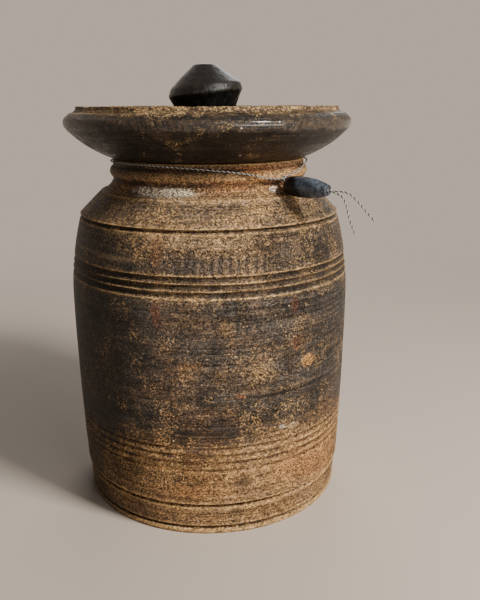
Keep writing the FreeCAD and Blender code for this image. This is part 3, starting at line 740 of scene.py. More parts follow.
# %% Turn the lid
LID_CORNERS = [
    (0.0, 324.0, "line", 12.0), (58.5, 324.0, "line", 3.0), (58.5, 301.0, "line", 2.0),
    (70.5, 301.0, "line", 2.0), (70.5, 315.0, "line", 2.0), (87.3, 315.0, ("bend", 100.0, 1), 0.8),
    (126.5, 340.5, ("arrives upright",), 0.7), (128.7, 346.0, ("leaves upright",), 0.6),
    (126.2, 351.2, "line", 0.6), (122.3, 354.4, ("bend", 5.5, -1), 0.6), (117.0, 358.2, "line", 0.6),
    (117.0, 360.0, "line", 0.6), (115.4, 360.0, ("bend", 30.0, -1), 1.0),
    (80.0, 338.0, "line", 1.6), (15.0, 338.0, "line", 5.0), (0.0, 338.0, "line", 1.0),
]
LID_ARRIS_SOFTNESS = 0.5
LIP_RADIUS = 0.1165
LIP_LEVEL = 0.360
CHIP_REACH = 0.004
CHIP_DEPTH = 0.0026
CHIP_SCALE = 55

lid_outline = outline_points(LID_CORNERS)
lid_finish = bpy.data.materials.new("dark_waxed_wood")
lid = run_tree("turned_lid", lathe_tree, outline_mesh("lid_outline", lid_outline, LID_ARRIS_SOFTNESS),
               {"Steps Round": 320, "Wobble Depth": 0.0006, "Tool Mark Depth": 0.00025, "Seed": 8.0,
                "Finish": lid_finish})


def chip_the_lip(piece):
    """Presses small chips into the lip where a noise round it is high."""
    chipped = 0
    for vertex in piece.data.vertices:
        away = math.hypot(vertex.co.x, vertex.co.y) - LIP_RADIUS
        if vertex.co.z < LIP_LEVEL - CHIP_REACH or abs(away) > CHIP_REACH:
            continue
        round_lip = Vector((vertex.co.x * CHIP_SCALE, vertex.co.y * CHIP_SCALE, 4.0))
        bite = max(0.0, noise.noise(round_lip) - 0.18) + 0.35 * max(0.0, noise.noise(round_lip * 4))
        nearness = max(0.0, 1 - (LIP_LEVEL - vertex.co.z) / CHIP_REACH)
        vertex.co.z -= CHIP_DEPTH * bite * nearness
        chipped += bite > 0.1
    print("lip chips moved", chipped, "points")


chip_the_lip(lid)
face_outwards(lid)
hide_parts("lid")
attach(lid, "lid")

# %% [markdown]
# ## The knob
# The knob was finished by hand: its girdle leans, lower on the left, and its undercut still shows
# knife facets. The knob and the bead are both built as rings of points. Two helpers join the rings
# into faces and make a piece of them.

# %% Make helpers for pieces built as rings
def ring_faces(rows, steps):
    """Four-sided faces between rings of points, each ring with the same number of steps."""
    return [(row * steps + step, row * steps + (step + 1) % steps,
             (row + 1) * steps + (step + 1) % steps, (row + 1) * steps + step)
            for row in range(rows - 1) for step in range(steps)]


def piece_of_rings(name, vertices, faces, proud):
    """An object with smooth faces that keeps how proud each point stands."""
    mesh = bpy.data.meshes.new(name)
    mesh.from_pydata(vertices, [], faces)
    mesh.polygons.foreach_set("use_smooth", [True] * len(mesh.polygons))
    store_number(mesh, "proud", proud)
    piece = bpy.data.objects.new(name, mesh)
    scene.collection.objects.link(piece)
    return piece


print("ring helpers ready")

# %% [markdown]
# Each of the knob's rings has a height, a radius, and shares of the lean and of the shift to the
# left. The facets pull the lower rings in by fractions of a millimetre.

# %% Shape the knob
KNOB_LEAN = math.radians(6.2)
KNOB_ASIDE = 1.9
KNOB_RINGS = [
    (338.0, 16.9, 0.0, 0.0), (365.9, 30.9, 1.0, 1.0), (370.9, 33.7, 1.0, 1.0), (377.2, 31.4, 1.0, 1.0),
    (394.6, 10.2, 0.0, 1.0), (395.3, 9.2, 0.0, 1.0), (395.3, 0.2, 0.0, 1.0),
]
KNOB_STEPS = 144
KNOB_SPACING = 0.55
KNOB_SOFTNESS = 1.1
KNOB_RIDGE_REACH = 2.0


def knob_rows():
    """The knob's rings, filled in and rounded a little at the girdle and the crown."""
    coarse = np.array(KNOB_RINGS)
    travelled = travelled_along(coarse[:, :2])
    fine = np.arange(0, travelled[-1], KNOB_SPACING)
    rows = np.stack([np.interp(fine, travelled, coarse[:, column]) for column in range(4)], 1)
    soft = average_over(rows, fine, KNOB_SOFTNESS)
    soft[0], soft[-1] = rows[0], rows[-1]
    return soft, proudness(soft[:, 1::-1], fine, KNOB_RIDGE_REACH)


def knife_facets(angle, level):
    """How far the hand-cut facets pull a point in, in millimetres."""
    low = np.clip((371.0 - level) / 6.0, 0, 1)
    wave = 0.5 + 0.5 * np.cos(13 * angle + 1.3 * np.sin(2 * angle))
    brow = np.exp(-((level - 374.0) / 7.0) ** 2)
    uneven = 0.5 + 0.5 * np.sin(5 * angle + 0.8) * np.sin(3 * angle + 2.0)
    return 0.5 * low * (1 - wave) + 0.2 * brow * uneven


def shape_knob():
    """The knob as a closed piece, in metres."""
    rows, proud = knob_rows()
    angles = np.arange(KNOB_STEPS) * 2 * math.pi / KNOB_STEPS
    vertices = []
    for level, radius, lean, aside in rows:
        pulled = radius - np.minimum(knife_facets(angles, level), radius * 0.1)
        tip = KNOB_LEAN * lean
        left = KNOB_ASIDE * aside
        for reach, angle in zip(pulled, angles):
            across = reach * math.cos(angle)
            place = (across * math.cos(tip) - left, reach * math.sin(angle),
                     level + across * math.sin(tip))
            vertices.append(tuple(part * MILLIMETRE for part in place))
    faces = ring_faces(len(rows), KNOB_STEPS)
    faces.append(tuple(reversed(range(KNOB_STEPS))))
    faces.append(tuple(range((len(rows) - 1) * KNOB_STEPS, len(rows) * KNOB_STEPS)))
    return piece_of_rings("shaped_knob", vertices, faces, np.repeat(proud, KNOB_STEPS))


knob = shape_knob()
knob_finish = bpy.data.materials.new("black_waxed_wood")
knob.data.materials.append(knob_finish)
face_outwards(knob)
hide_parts("knob")
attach(knob, "lid")

# %% [markdown]
# ## The bead
# The bead is a barrel with flats cut along it by hand. For each point of the barrel the radius is
# the smaller of the barrel's own and the distance to the nearest flat, blended over a fraction of a
# millimetre so that the edges look rubbed. Its lengths are in millimetres from its near end.

# %% Find the bead's radius
BARREL_LENGTH = 44.0
WIDEST_AT = 16.0
WIDEST_RADIUS = 9.0
NEAR_RADIUS = 3.4
FAR_RADIUS = 4.4
BEAD_FLATS = [(150, 7.9), (208, 8.0), (268, 8.2), (330, 8.0), (28, 8.1), (90, 8.2)]
FLATS_WIDEST_AT = 19
FLAT_TAPER = 0.012
FLAT_BLEND = 0.22


def barrel_radius(along):
    """The barrel's radius at a distance from its near end."""
    if along < WIDEST_AT:
        share = 1 - along / WIDEST_AT
        return NEAR_RADIUS + (WIDEST_RADIUS - NEAR_RADIUS) * math.sqrt(max(0.0, 1 - share ** 2.1))
    share = (along - WIDEST_AT) / (BARREL_LENGTH - WIDEST_AT)
    return FAR_RADIUS + (WIDEST_RADIUS - FAR_RADIUS) * (1 - share ** 2.05)


def bead_radius(along, angle):
    """The radius with the flats cut, each tapering towards the ends as the bead does."""
    barrel = barrel_radius(along)
    cuts = [barrel]
    for bearing, distance in BEAD_FLATS:
        facing_it = math.cos(angle - math.radians(bearing))
        if facing_it > 0.3:
            cuts.append((distance - FLAT_TAPER * abs(along - FLATS_WIDEST_AT)) / facing_it)
    nearest = min(cuts)
    crowd = sum(math.exp(-(cut - nearest) / FLAT_BLEND) for cut in cuts)
    return max(1.0, min(barrel, nearest - FLAT_BLEND * math.log(crowd)))


print("bead radius at its middle: %.2f mm" % bead_radius(BARREL_LENGTH / 2, 0.0))

# %% [markdown]
# The stations stand close together at both ends, where the barrel is rounded. Each end closes on a
# point that lies a little way in, as the rim of a bored hole does. How proud a point stands is its
# radius less the average radius of its neighbours round the ring.

# %% Cut the bead
BEAD_STATIONS = [0.0, 0.15, 0.5] + list(np.linspace(1.0, 43.3, 60)) + [43.7, 44.0]
BEAD_STEPS = 96
BEAD_NEIGHBOURS = 7
BORE_INSET = 0.8


def cut_bead():
    """The bead as a closed piece along its own direction, in metres."""
    vertices = []
    proud = []
    for along in BEAD_STATIONS:
        angles = [2 * math.pi * step / BEAD_STEPS for step in range(BEAD_STEPS)]
        ring = [bead_radius(along, angle) for angle in angles]
        vertices += [tuple(from_bead(along * MILLIMETRE, radius * math.cos(angle) * MILLIMETRE,
                                     radius * math.sin(angle) * MILLIMETRE))
                     for radius, angle in zip(ring, angles)]
        for step in range(BEAD_STEPS):
            near = range(step - BEAD_NEIGHBOURS, step + BEAD_NEIGHBOURS + 1)
            proud.append(ring[step] - sum(ring[other % BEAD_STEPS] for other in near) / len(near))
    faces = ring_faces(len(BEAD_STATIONS), BEAD_STEPS)
    last_ring = (len(BEAD_STATIONS) - 1) * BEAD_STEPS
    for first, order, inset in ((0, -1, BORE_INSET), (last_ring, 1, BARREL_LENGTH - BORE_INSET)):
        middle = len(vertices)
        vertices.append(tuple(from_bead(inset * MILLIMETRE, 0, 0)))
        proud.append(0.0)
        ring = [first + step for step in range(BEAD_STEPS)][::order]
        faces += [(ring[step], ring[(step + 1) % BEAD_STEPS], middle) for step in range(BEAD_STEPS)]
    return piece_of_rings("cut_bead", vertices, faces, proud)


bead = cut_bead()
bead_finish = bpy.data.materials.new("grey_black_wood")
bead.data.materials.append(bead_finish)
face_outwards(bead)
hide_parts("pendant_bead")
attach(bead, "neck_twine")

# %% [markdown]
# ## Finishes
# The old wood carries layers: dark smoke patina, paler wood where hands rubbed through, ochre dust
# caught in the turning lines, worn ridges and dirt in the hollows. Each layer is a mask between 0
# and 1, and a finish is a row of coats, each a colour laid on through its mask. A few small helpers
# keep such rows short. Colours are given as they look on a screen, from 0 to 255, and turned into
# the light values that Blender works with.

# %% Make helpers for the finishes
def paint(red, green, blue):
    """A colour given as it looks on a screen, as Blender's light values."""
    values = [channel / 255 for channel in (red, green, blue)]
    return tuple(v / 12.92 if v <= 0.04045 else ((v + 0.055) / 1.055) ** 2.4 for v in values) + (1.0,)


def new_shader_group(name, inputs, outputs):
    """An empty shader group with named inputs and outputs, and the node that gives its inputs."""
    group = bpy.data.node_groups.new(name, "ShaderNodeTree")
    for label, kind, value in inputs:
        socket = group.interface.new_socket(label, in_out="INPUT", socket_type="NodeSocket" + kind)
        socket.default_value = value
    for label in outputs:
        group.interface.new_socket(label, in_out="OUTPUT", socket_type="NodeSocketFloat")
    return group, add_node(group, "NodeGroupInput").outputs


def between(tree, value, low, high, to_low=0.0, to_high=1.0):
    """A value carried smoothly from one range to another and held at its ends."""
    return add_node(tree, "ShaderNodeMapRange",
                    {"Value": value, "From Min": low, "From Max": high, "To Min": to_low,
                     "To Max": to_high}, interpolation_type="SMOOTHSTEP").outputs[0]


def times(tree, first, second):
    """Two values multiplied."""
    return sum_of(tree, "MULTIPLY", first, second)


def added(tree, first, second):
    """Two values added."""
    return sum_of(tree, "ADD", first, second)


def less(tree, first, second):
    """The second value taken from the first."""
    return sum_of(tree, "SUBTRACT", first, second)


def larger(tree, first, second):
    """The larger of two values."""
    return sum_of(tree, "MAXIMUM", first, second)


def mix(tree, share, first, second, blend="MIX"):
    """Two colours mixed by a share."""
    return add_node(tree, "ShaderNodeMix", {0: share, 6: first, 7: second},
                    data_type="RGBA", blend_type=blend).outputs[2]


def toned(tree, colour, factor):
    """A colour made darker or lighter by a factor."""
    factors = add_node(tree, "ShaderNodeCombineColor", {0: factor, 1: factor, 2: factor}).outputs[0]
    return mix(tree, 1.0, colour, factors, "MULTIPLY")


def flattened(tree, place, share):
    """A place whose height counts a number of times, so that a pattern on it lies flatter."""
    return vector_sum(tree, "MULTIPLY", place, (1.0, 1.0, share))


def cloud(tree, place, scale, seed, detail=3.0, roughness=0.55):
    """Noise from 0 to 1 at a place, its seed a shift in space."""
    shifted = vector_sum(tree, "ADD", place, (seed * 1.7, seed * 2.3, seed * 3.1))
    inputs = {"Vector": shifted, "Scale": scale, "Detail": detail, "Roughness": roughness}
    return add_node(tree, "ShaderNodeTexNoise", inputs).outputs[0]


def cells(tree, place, scale):
    """Cells of a given number a metre: the distance from each one's middle, and its own draws."""
    made = add_node(tree, "ShaderNodeTexVoronoi", {"Vector": place, "Scale": scale}, feature="F1")
    draws = add_node(tree, "ShaderNodeSeparateColor", {0: made.outputs["Color"]}).outputs
    return made.outputs["Distance"], draws


def level_from(tree, value, stops):
    """A value read off a row of (position, level) stops."""
    node = add_node(tree, "ShaderNodeValToRGB", {0: value})
    ramp = node.color_ramp
    ramp.elements[0].position, ramp.elements[1].position = stops[0][0], stops[-1][0]
    for position, _level in stops[1:-1]:
        ramp.elements.new(position)
    for element, (_position, level) in zip(ramp.elements, stops):
        element.color = (level, level, level, 1.0)
    return node.outputs[0]


def attribute(tree, name):
    """A number stored on the mesh."""
    return add_node(tree, "ShaderNodeAttribute", attribute_name=name).outputs["Fac"]


print("helpers ready")

# %% [markdown]
# ### Effects that the finishes share
# Four effects turn up on more than one piece, so each is a shader group. *Turning lines* are noise
# stretched thin along the outline, coarse and fine.

# %% Build the turning lines
def build_turning_lines():
    """Thin lines that run round the piece, coarse ones and fine ones, fading in and out."""
    group, given = new_shader_group(
        "turning_lines",
        [("Place", "Vector", (0, 0, 0)), ("Travelled", "Float", 0.0),
         ("Lines per Metre", "Float", 300.0)],
        ["Lines", "Fine Lines"])
    spot = add_node(group, "ShaderNodeSeparateXYZ", {0: given["Place"]}).outputs
    found = []
    for seed, spread, finer in ((1.0, 6.0, 1.0), (2.0, 12.0, 2.4)):
        level = times(group, times(group, given["Travelled"], given["Lines per Metre"]), finer)
        place = add_node(group, "ShaderNodeCombineXYZ", {
            "X": times(group, spot["X"], spread), "Y": times(group, spot["Y"], spread),
            "Z": level}).outputs[0]
        found.append(between(group, cloud(group, place, 1.0, seed, detail=2.0), 0.3, 0.7))
    add_node(group, "NodeGroupOutput", {"Lines": found[0], "Fine Lines": found[1]})
    return group


turning_lines = build_turning_lines()
print("turning lines:", len(turning_lines.nodes), "nodes")

# %% [markdown]
# *Grit* is what makes the old surface look dusty and rough. Small cells give each grain its own
# chance of being pale dust, and a cloud gathers such grains in clusters. Other cells give the dark
# pits and a few pale specks, and a fine grain of light and dark runs through everything.

# %% Build the grit
def build_grit():
    """Pale grains gathered in clusters, a few pale specks, dark pits and a fine grain."""
    group, given = new_shader_group(
        "grit", [("Place", "Vector", (0, 0, 0)), ("Amount", "Float", 0.5), ("Seed", "Float", 0.0)],
        ["Speckle", "Specks", "Pits", "Grain"])
    shift = add_node(group, "ShaderNodeCombineXYZ", {"X": given["Seed"], "Y": given["Seed"]}).outputs[0]
    place = vector_sum(group, "ADD", given["Place"], shift)
    cluster = cloud(group, place, 40.0, 4.0, detail=6.0, roughness=0.7)
    local = added(group, given["Amount"], times(group, less(group, cluster, 0.5), 2.0))

    grain_away, grain_draws = cells(group, place, 980.0)
    blurred = times(group, cloud(group, place, 400.0, 2.0), 0.25)
    chance = added(group, times(group, grain_draws[0], 0.8), blurred)
    speckle = times(group, between(group, less(group, local, chance), -0.05, 0.35),
                    added(group, 0.45, times(group, grain_draws[2], 0.55)))
    pits = times(group, between(group, grain_draws[1], 0.30, 0.20),
                 between(group, grain_away, 0.6, 0.3))

    speck_away, speck_draws = cells(group, place, 105.0)
    specks = times(group, between(group, speck_away, 0.10, 0.04),
                   sum_of(group, "GREATER_THAN", speck_draws[0], 0.87))

    crumb_away, crumb_draws = cells(group, place, 880.0)
    crumb_pits = times(group, between(group, crumb_draws[1], 0.20, 0.14),
                       between(group, crumb_away, 0.55, 0.3))
    fine = cloud(group, flattened(group, place, 3.0), 270.0, 8.0, detail=6.0, roughness=0.9)
    grain = added(group, times(group, crumb_draws[0], 0.6), times(group, fine, 1.4))
    add_node(group, "NodeGroupOutput", {
        "Speckle": speckle, "Specks": specks, "Pits": larger(group, pits, crumb_pits),
        "Grain": between(group, grain, 0.55, 1.45)})
    return group


grit = build_grit()
print("grit:", len(grit.nodes), "nodes")

# %% [markdown]
# *Rubbed edges* reads how proud the surface stands and breaks the answer up with noise, which gives
# worn ridges and dirty hollows. *Stain* is a patch pattern with ragged edges.

# %% Build the rubbed edges and the stain
def build_rubbed_edges():
    """Where hands rub and where dirt stays, from how proud the surface stands in millimetres."""
    group, given = new_shader_group(
        "rubbed_edges",
        [("Place", "Vector", (0, 0, 0)), ("Proud", "Float", 0.0), ("Reach", "Float", 0.35)],
        ["Worn", "Dirt"])
    noisy = cloud(group, given["Place"], 210.0, 6.0, detail=6.0, roughness=0.85)
    ragged = less(group, noisy, 0.5)
    share = sum_of(group, "DIVIDE", given["Proud"], given["Reach"])
    worn = between(group, added(group, share, times(group, ragged, 5.0)), 0.3, 1.5)
    dirt = between(group, added(group, share, times(group, ragged, 2.4)), -0.25, -1.5)
    add_node(group, "NodeGroupOutput", {"Worn": worn, "Dirt": dirt})
    return group


def build_stain():
    """Patches with ragged edges."""
    group, given = new_shader_group(
        "stain",
        [("Place", "Vector", (0, 0, 0)), ("Scale", "Float", 20.0), ("Share", "Float", 0.5),
         ("Softness", "Float", 0.12)],
        ["Stain"])
    shape = add_node(group, "ShaderNodeTexNoise", {
        "Vector": given["Place"], "Scale": given["Scale"], "Detail": 9.0, "Roughness": 0.78}).outputs[0]
    level = added(group, less(group, shape, 0.5), times(group, less(group, given["Share"], 0.5), 0.6))
    made = between(group, level, times(group, given["Softness"], -1.0), given["Softness"])
    add_node(group, "NodeGroupOutput", {"Stain": made})
    return group


rubbed_edges = build_rubbed_edges()
stain = build_stain()
print("shared effects:", [group.name for group in (turning_lines, grit, rubbed_edges, stain)])

# %% [markdown]
# Every finish starts from an empty material, places the shared effects in it, lays its coats of
# colour one after the other, and ends with a bump that raises lines and grains.

# %% Make helpers that build a finish
def effect(tree, group, inputs):
    """Places a shared effect in a material and returns its outputs."""
    return add_node(tree, "ShaderNodeGroup", inputs, node_tree=group).outputs


def stained(tree, place, scale, share, softness):
    """The stain effect's patches."""
    inputs = {"Place": place, "Scale": scale, "Share": share, "Softness": softness}
    return effect(tree, stain, inputs)["Stain"]


def start_finish(material):
    """An emptied material tree, its surface shader, and the object's own coordinates."""
    material.use_nodes = True
    tree = material.node_tree
    tree.nodes.clear()
    surface = add_node(tree, "ShaderNodeBsdfPrincipled")
    add_node(tree, "ShaderNodeOutputMaterial", {"Surface": surface.outputs[0]})
    return tree, surface, add_node(tree, "ShaderNodeTexCoord").outputs["Object"]


def lay_coats(tree, colour, coats):
    """Lays colours on one after the other, each through its mask and at its strength."""
    for mask, strength, coat in coats:
        colour = mix(tree, times(tree, mask, strength), colour, coat)
    return colour


def raise_surface(tree, surface, parts, distance):
    """Feeds a sum of (value, weight) to the surface's normal, as a height of distance metres."""
    height = times(tree, *parts[0])
    for value, weight in parts[1:]:
        height = added(tree, height, times(tree, value, weight))
    bump = add_node(tree, "ShaderNodeBump",
                    {"Height": height, "Distance": distance, "Strength": 1.0})
    tree.links.new(bump.outputs[0], surface.inputs["Normal"])


print("finish helpers ready")

# %% [markdown]
# Some marks sit at one place only, such as a crack, or a rubbed stretch of the ledge that is also a
# painted highlight. Such a mark is a soft oval on the round wall, placed by its bearing from the front
# and its height. Noise added to the distance from its middle makes its edge ragged.

# %% Place a mark on the wall
def bearing_of(tree, spot):
    """The bearing in degrees, from the front towards the right."""
    turned = sum_of(tree, "ARCTAN2", spot["X"], times(tree, spot["Y"], -1.0))
    return times(tree, turned, 180 / math.pi)


def oval(tree, spot, bearing, ragged, place, half_size):
    """A ragged oval mark at (bearing in degrees, height in mm) with half sizes in the same units."""
    across = sum_of(tree, "DIVIDE", less(tree, bearing, place[0]), half_size[0])
    height = less(tree, spot["Z"], place[1] * MILLIMETRE)
    up = sum_of(tree, "DIVIDE", height, half_size[1] * MILLIMETRE)
    away = sum_of(tree, "SQRT", added(tree, times(tree, across, across), times(tree, up, up)))
    away = added(tree, away, times(tree, less(tree, ragged, 0.5), 1.8))
    return between(tree, away, 1.15, 0.35)


print("marks ready")

# %% [markdown]
# ### Patinated wood
# The pot is tan at the foot, nearly black round the belly, ochre on the shoulder and orange-brown
# at the neck. A ramp on the height gives the share of bare wood at each level, and a second one the
# amount of grit. Single marks are kept as a table: the bearing and the height of the middle, half
# the width and half the height, in degrees and millimetres, then the strength and the colour.

# %% Write down the pot's levels and marks
HEIGHT_OF_RAMP = 0.32
BARE_WOOD_BY_HEIGHT = [
    (0.0, 0.70), (0.012, 0.70), (0.022, 0.54), (0.036, 0.86), (0.10, 0.84), (0.19, 0.80), (0.26, 0.60),
    (0.33, 0.30), (0.45, 0.30), (0.58, 0.36), (0.64, 0.28), (0.68, 0.44), (0.79, 0.48), (0.835, 0.60),
    (0.88, 0.54), (0.905, 0.70), (0.93, 0.50), (0.985, 0.40),
]
GRIT_BY_HEIGHT = [
    (0.0, 0.30), (0.10, 0.28), (0.25, 0.38), (0.33, 0.27), (0.50, 0.32), (0.62, 0.22), (0.70, 0.34),
    (0.80, 0.40), (0.84, 0.38), (0.90, 0.36), (0.94, 0.31), (0.99, 0.27),
]
CRACK = (24, 19, 15)
MARKS = [
    # A pale rubbed stretch of the ledge, brightened as a painted highlight.
    (-25.0, 292.0, 24.0, 4.2, 1.0, (255, 236, 206)),
    (39.0, 292.5, 5.0, 3.2, 0.85, (236, 216, 190)),
    (-18.0, 252.0, 2.6, 30.0, 0.35, (150, 98, 60)),
    (-18.3, 204.0, 2.2, 14.0, 0.50, (118, 58, 38)),
    (41.2, 151.5, 4.6, 6.5, 0.90, (226, 164, 94)),
    (34.2, 95.5, 4.0, 3.6, 0.80, (222, 186, 138)),
    (29.3, 97.0, 1.4, 1.8, 0.90, (240, 234, 224)),
    (34.0, 204.0, 2.4, 9.0, 0.50, (116, 64, 42)),
    (35.0, 170.0, 2.6, 8.0, 0.55, (112, 58, 44)),
    (52.0, 238.0, 8.0, 11.0, 0.60, (52, 44, 38)),
    (-28.8, 229.0, 0.50, 12.0, 0.90, CRACK),
    (-9.8, 70.0, 0.45, 11.0, 0.80, CRACK),
    (-42.0, 68.0, 0.45, 15.0, 0.70, CRACK),
    # A dark line with a paler band above it: painted shade and painted light along a small step on the
    # belly.
    (30.0, 129.0, 25.0, 1.2, 0.80, (28, 22, 18)),
    (28.0, 133.5, 20.0, 3.5, 0.30, (150, 122, 90)),
    (12.2, 130.5, 2.6, 1.3, 0.60, (160, 94, 58)),
    (-5.5, 158.0, 6.0, 4.0, 0.45, (166, 124, 78)),
    (7.5, 190.0, 3.5, 9.0, 0.40, (150, 118, 80)),
    (5.0, 98.0, 10.0, 12.0, 0.60, (44, 38, 35)),
    (4.0, 239.0, 22.0, 9.0, 0.50, (80, 72, 66)),
    (44.0, 57.0, 24.0, 22.0, 0.45, (206, 146, 90)),
    (-4.0, 42.0, 14.0, 9.0, 0.35, (196, 140, 86)),
    (13.1, 50.0, 4.5, 6.0, 0.70, (56, 47, 40)),
    (10.8, 22.0, 5.0, 4.5, 0.70, (46, 37, 29)),
    (-30.0, 58.0, 6.0, 11.0, 0.50, (48, 40, 32)),
    (44.5, 28.2, 1.7, 2.4, 1.00, (12, 9, 7)),
]
print("levels:", len(BARE_WOOD_BY_HEIGHT), "and", len(GRIT_BY_HEIGHT), "marks:", len(MARKS))

# %% [markdown]
# The first masks say which side and level a place is on. The left side is darkened as painted shade,
# the upper right is darker, the right side of the neck is warm and lighter as painted light, and the
# part under the rim gets a painted shadow of the lid. The sine of the bearing tells left from right
# without a seam at the back.

# %% Find the pot's sides and levels
def pot_sides(tree, spot, bearing):
    """Masks by name for the pot's sides and levels."""
    level = spot["Z"]
    rightness = sum_of(tree, "SINE", times(tree, bearing, math.pi / 180))
    neck = between(tree, level, 0.289, 0.296)
    upper_right = times(tree, between(tree, rightness, 0.24, 0.72), between(tree, level, 0.10, 0.17))
    return {
        "neck": neck,
        "left painted shade": times(tree, between(tree, rightness, -0.21, -0.79),
                            between(tree, level, 0.272, 0.258, 0.2)),
        "darker upper right": times(tree, upper_right, between(tree, level, 0.30, 0.27)),
        "warm neck and painted light": times(tree, between(tree, rightness, -0.24, 0.41), neck),
        "lid painted shadow": times(tree, between(tree, level, 0.299, 0.305),
                           between(tree, rightness, 0.77, 0.17)),
        "high": times(tree, between(tree, level, 0.17, 0.22), between(tree, level, 0.291, 0.285)),
        "belly": times(tree, between(tree, level, 0.08, 0.13), between(tree, level, 0.277, 0.264)),
    }


print("sides ready")

# %% [markdown]
# The stain effect then gives three kinds of patch: bare wood by level and side, grey smears, and
# smoke-black patches. The share of bare wood falls on the left as painted shade and a little on the
# upper right, and rises on the right of the neck as painted light. The smoke-black patches spread
# further on the left as painted shade.

# %% Find the pot's patches
def pot_patches(tree, place, height, sides):
    """Masks for bare wood, grey smears and smoke-black patches, with painted shade on the left
    and painted light on the right of the neck.
    """
    squashed = flattened(tree, place, 1.7)
    # Painted shade lowers the share of bare wood on the left, painted light raises it on the right of the
    # neck, and the upper right gets a little less.
    share = added(tree, level_from(tree, height, BARE_WOOD_BY_HEIGHT),
                  less(tree, times(tree, sides["warm neck and painted light"], 0.24), times(tree, sides["left painted shade"], 0.28)))
    share = less(tree, share, times(tree, sides["darker upper right"], 0.12))
    bare = stained(tree, squashed, 17.0, share, 0.2)
    smears = stained(tree, vector_sum(tree, "ADD", squashed, (3.0, 1.0, 2.0)), 20.0, 0.45, 0.18)
    # Smoke-black patches spread further on the left as painted shade.
    soot_share_and_left_shade = added(tree, 0.34, times(tree, sides["left painted shade"], 0.26))
    soot_and_left_shade = stained(tree, vector_sum(tree, "ADD", place, (1.0, 5.0, 2.0)), 13.0, soot_share_and_left_shade, 0.14)
    return bare, smears, soot_and_left_shade


print("patches ready")

# %% [markdown]
# Below the dust lies the wood: tan and brown where it is bare, a warmer tone at the neck, a greyer
# one high on the belly, and smoke brown elsewhere, with the turning lines as darker and lighter
# rings.

# %% Paint the pot's wood
def pot_wood(tree, place, sides, patches, ragged, lines):
    """The colour of the wood under its dust and marks."""
    bare, smears, soot_and_left_shade = patches
    tint = cloud(tree, place, 10.0, 7.0, detail=5.0)
    worn = mix(tree, between(tree, tint, 0.36, 0.64), paint(176, 136, 94), paint(146, 104, 66))
    worn = mix(tree, times(tree, sides["neck"], 0.75), worn, paint(180, 119, 74))
    worn = mix(tree, times(tree, sides["high"], 0.5), worn, paint(136, 116, 92))
    smoked = mix(tree, between(tree, ragged, 0.32, 0.68), paint(33, 28, 24), paint(80, 71, 62))
    colour = lay_coats(tree, mix(tree, bare, smoked, worn), [
        (smears, 0.50, paint(98, 91, 84)),
        (soot_and_left_shade, 0.65, paint(34, 28, 23)),
    ])
    both = added(tree, lines["Lines"], lines["Fine Lines"])
    return toned(tree, colour, added(tree, 0.34, times(tree, both, 0.64)))


print("wood ready")

# %% [markdown]
# Dust, gouges, single marks, pits, worn ridges and dirty hollows are coats on top of the wood, and so
# is a painted shadow of the lid under the rim. The fine grain breaks the single marks up, so that they
# look worn in and not painted on. At the end the grain tones everything, the left side is darkened as
# painted shade, the upper right goes darker, and lines and grains are raised.

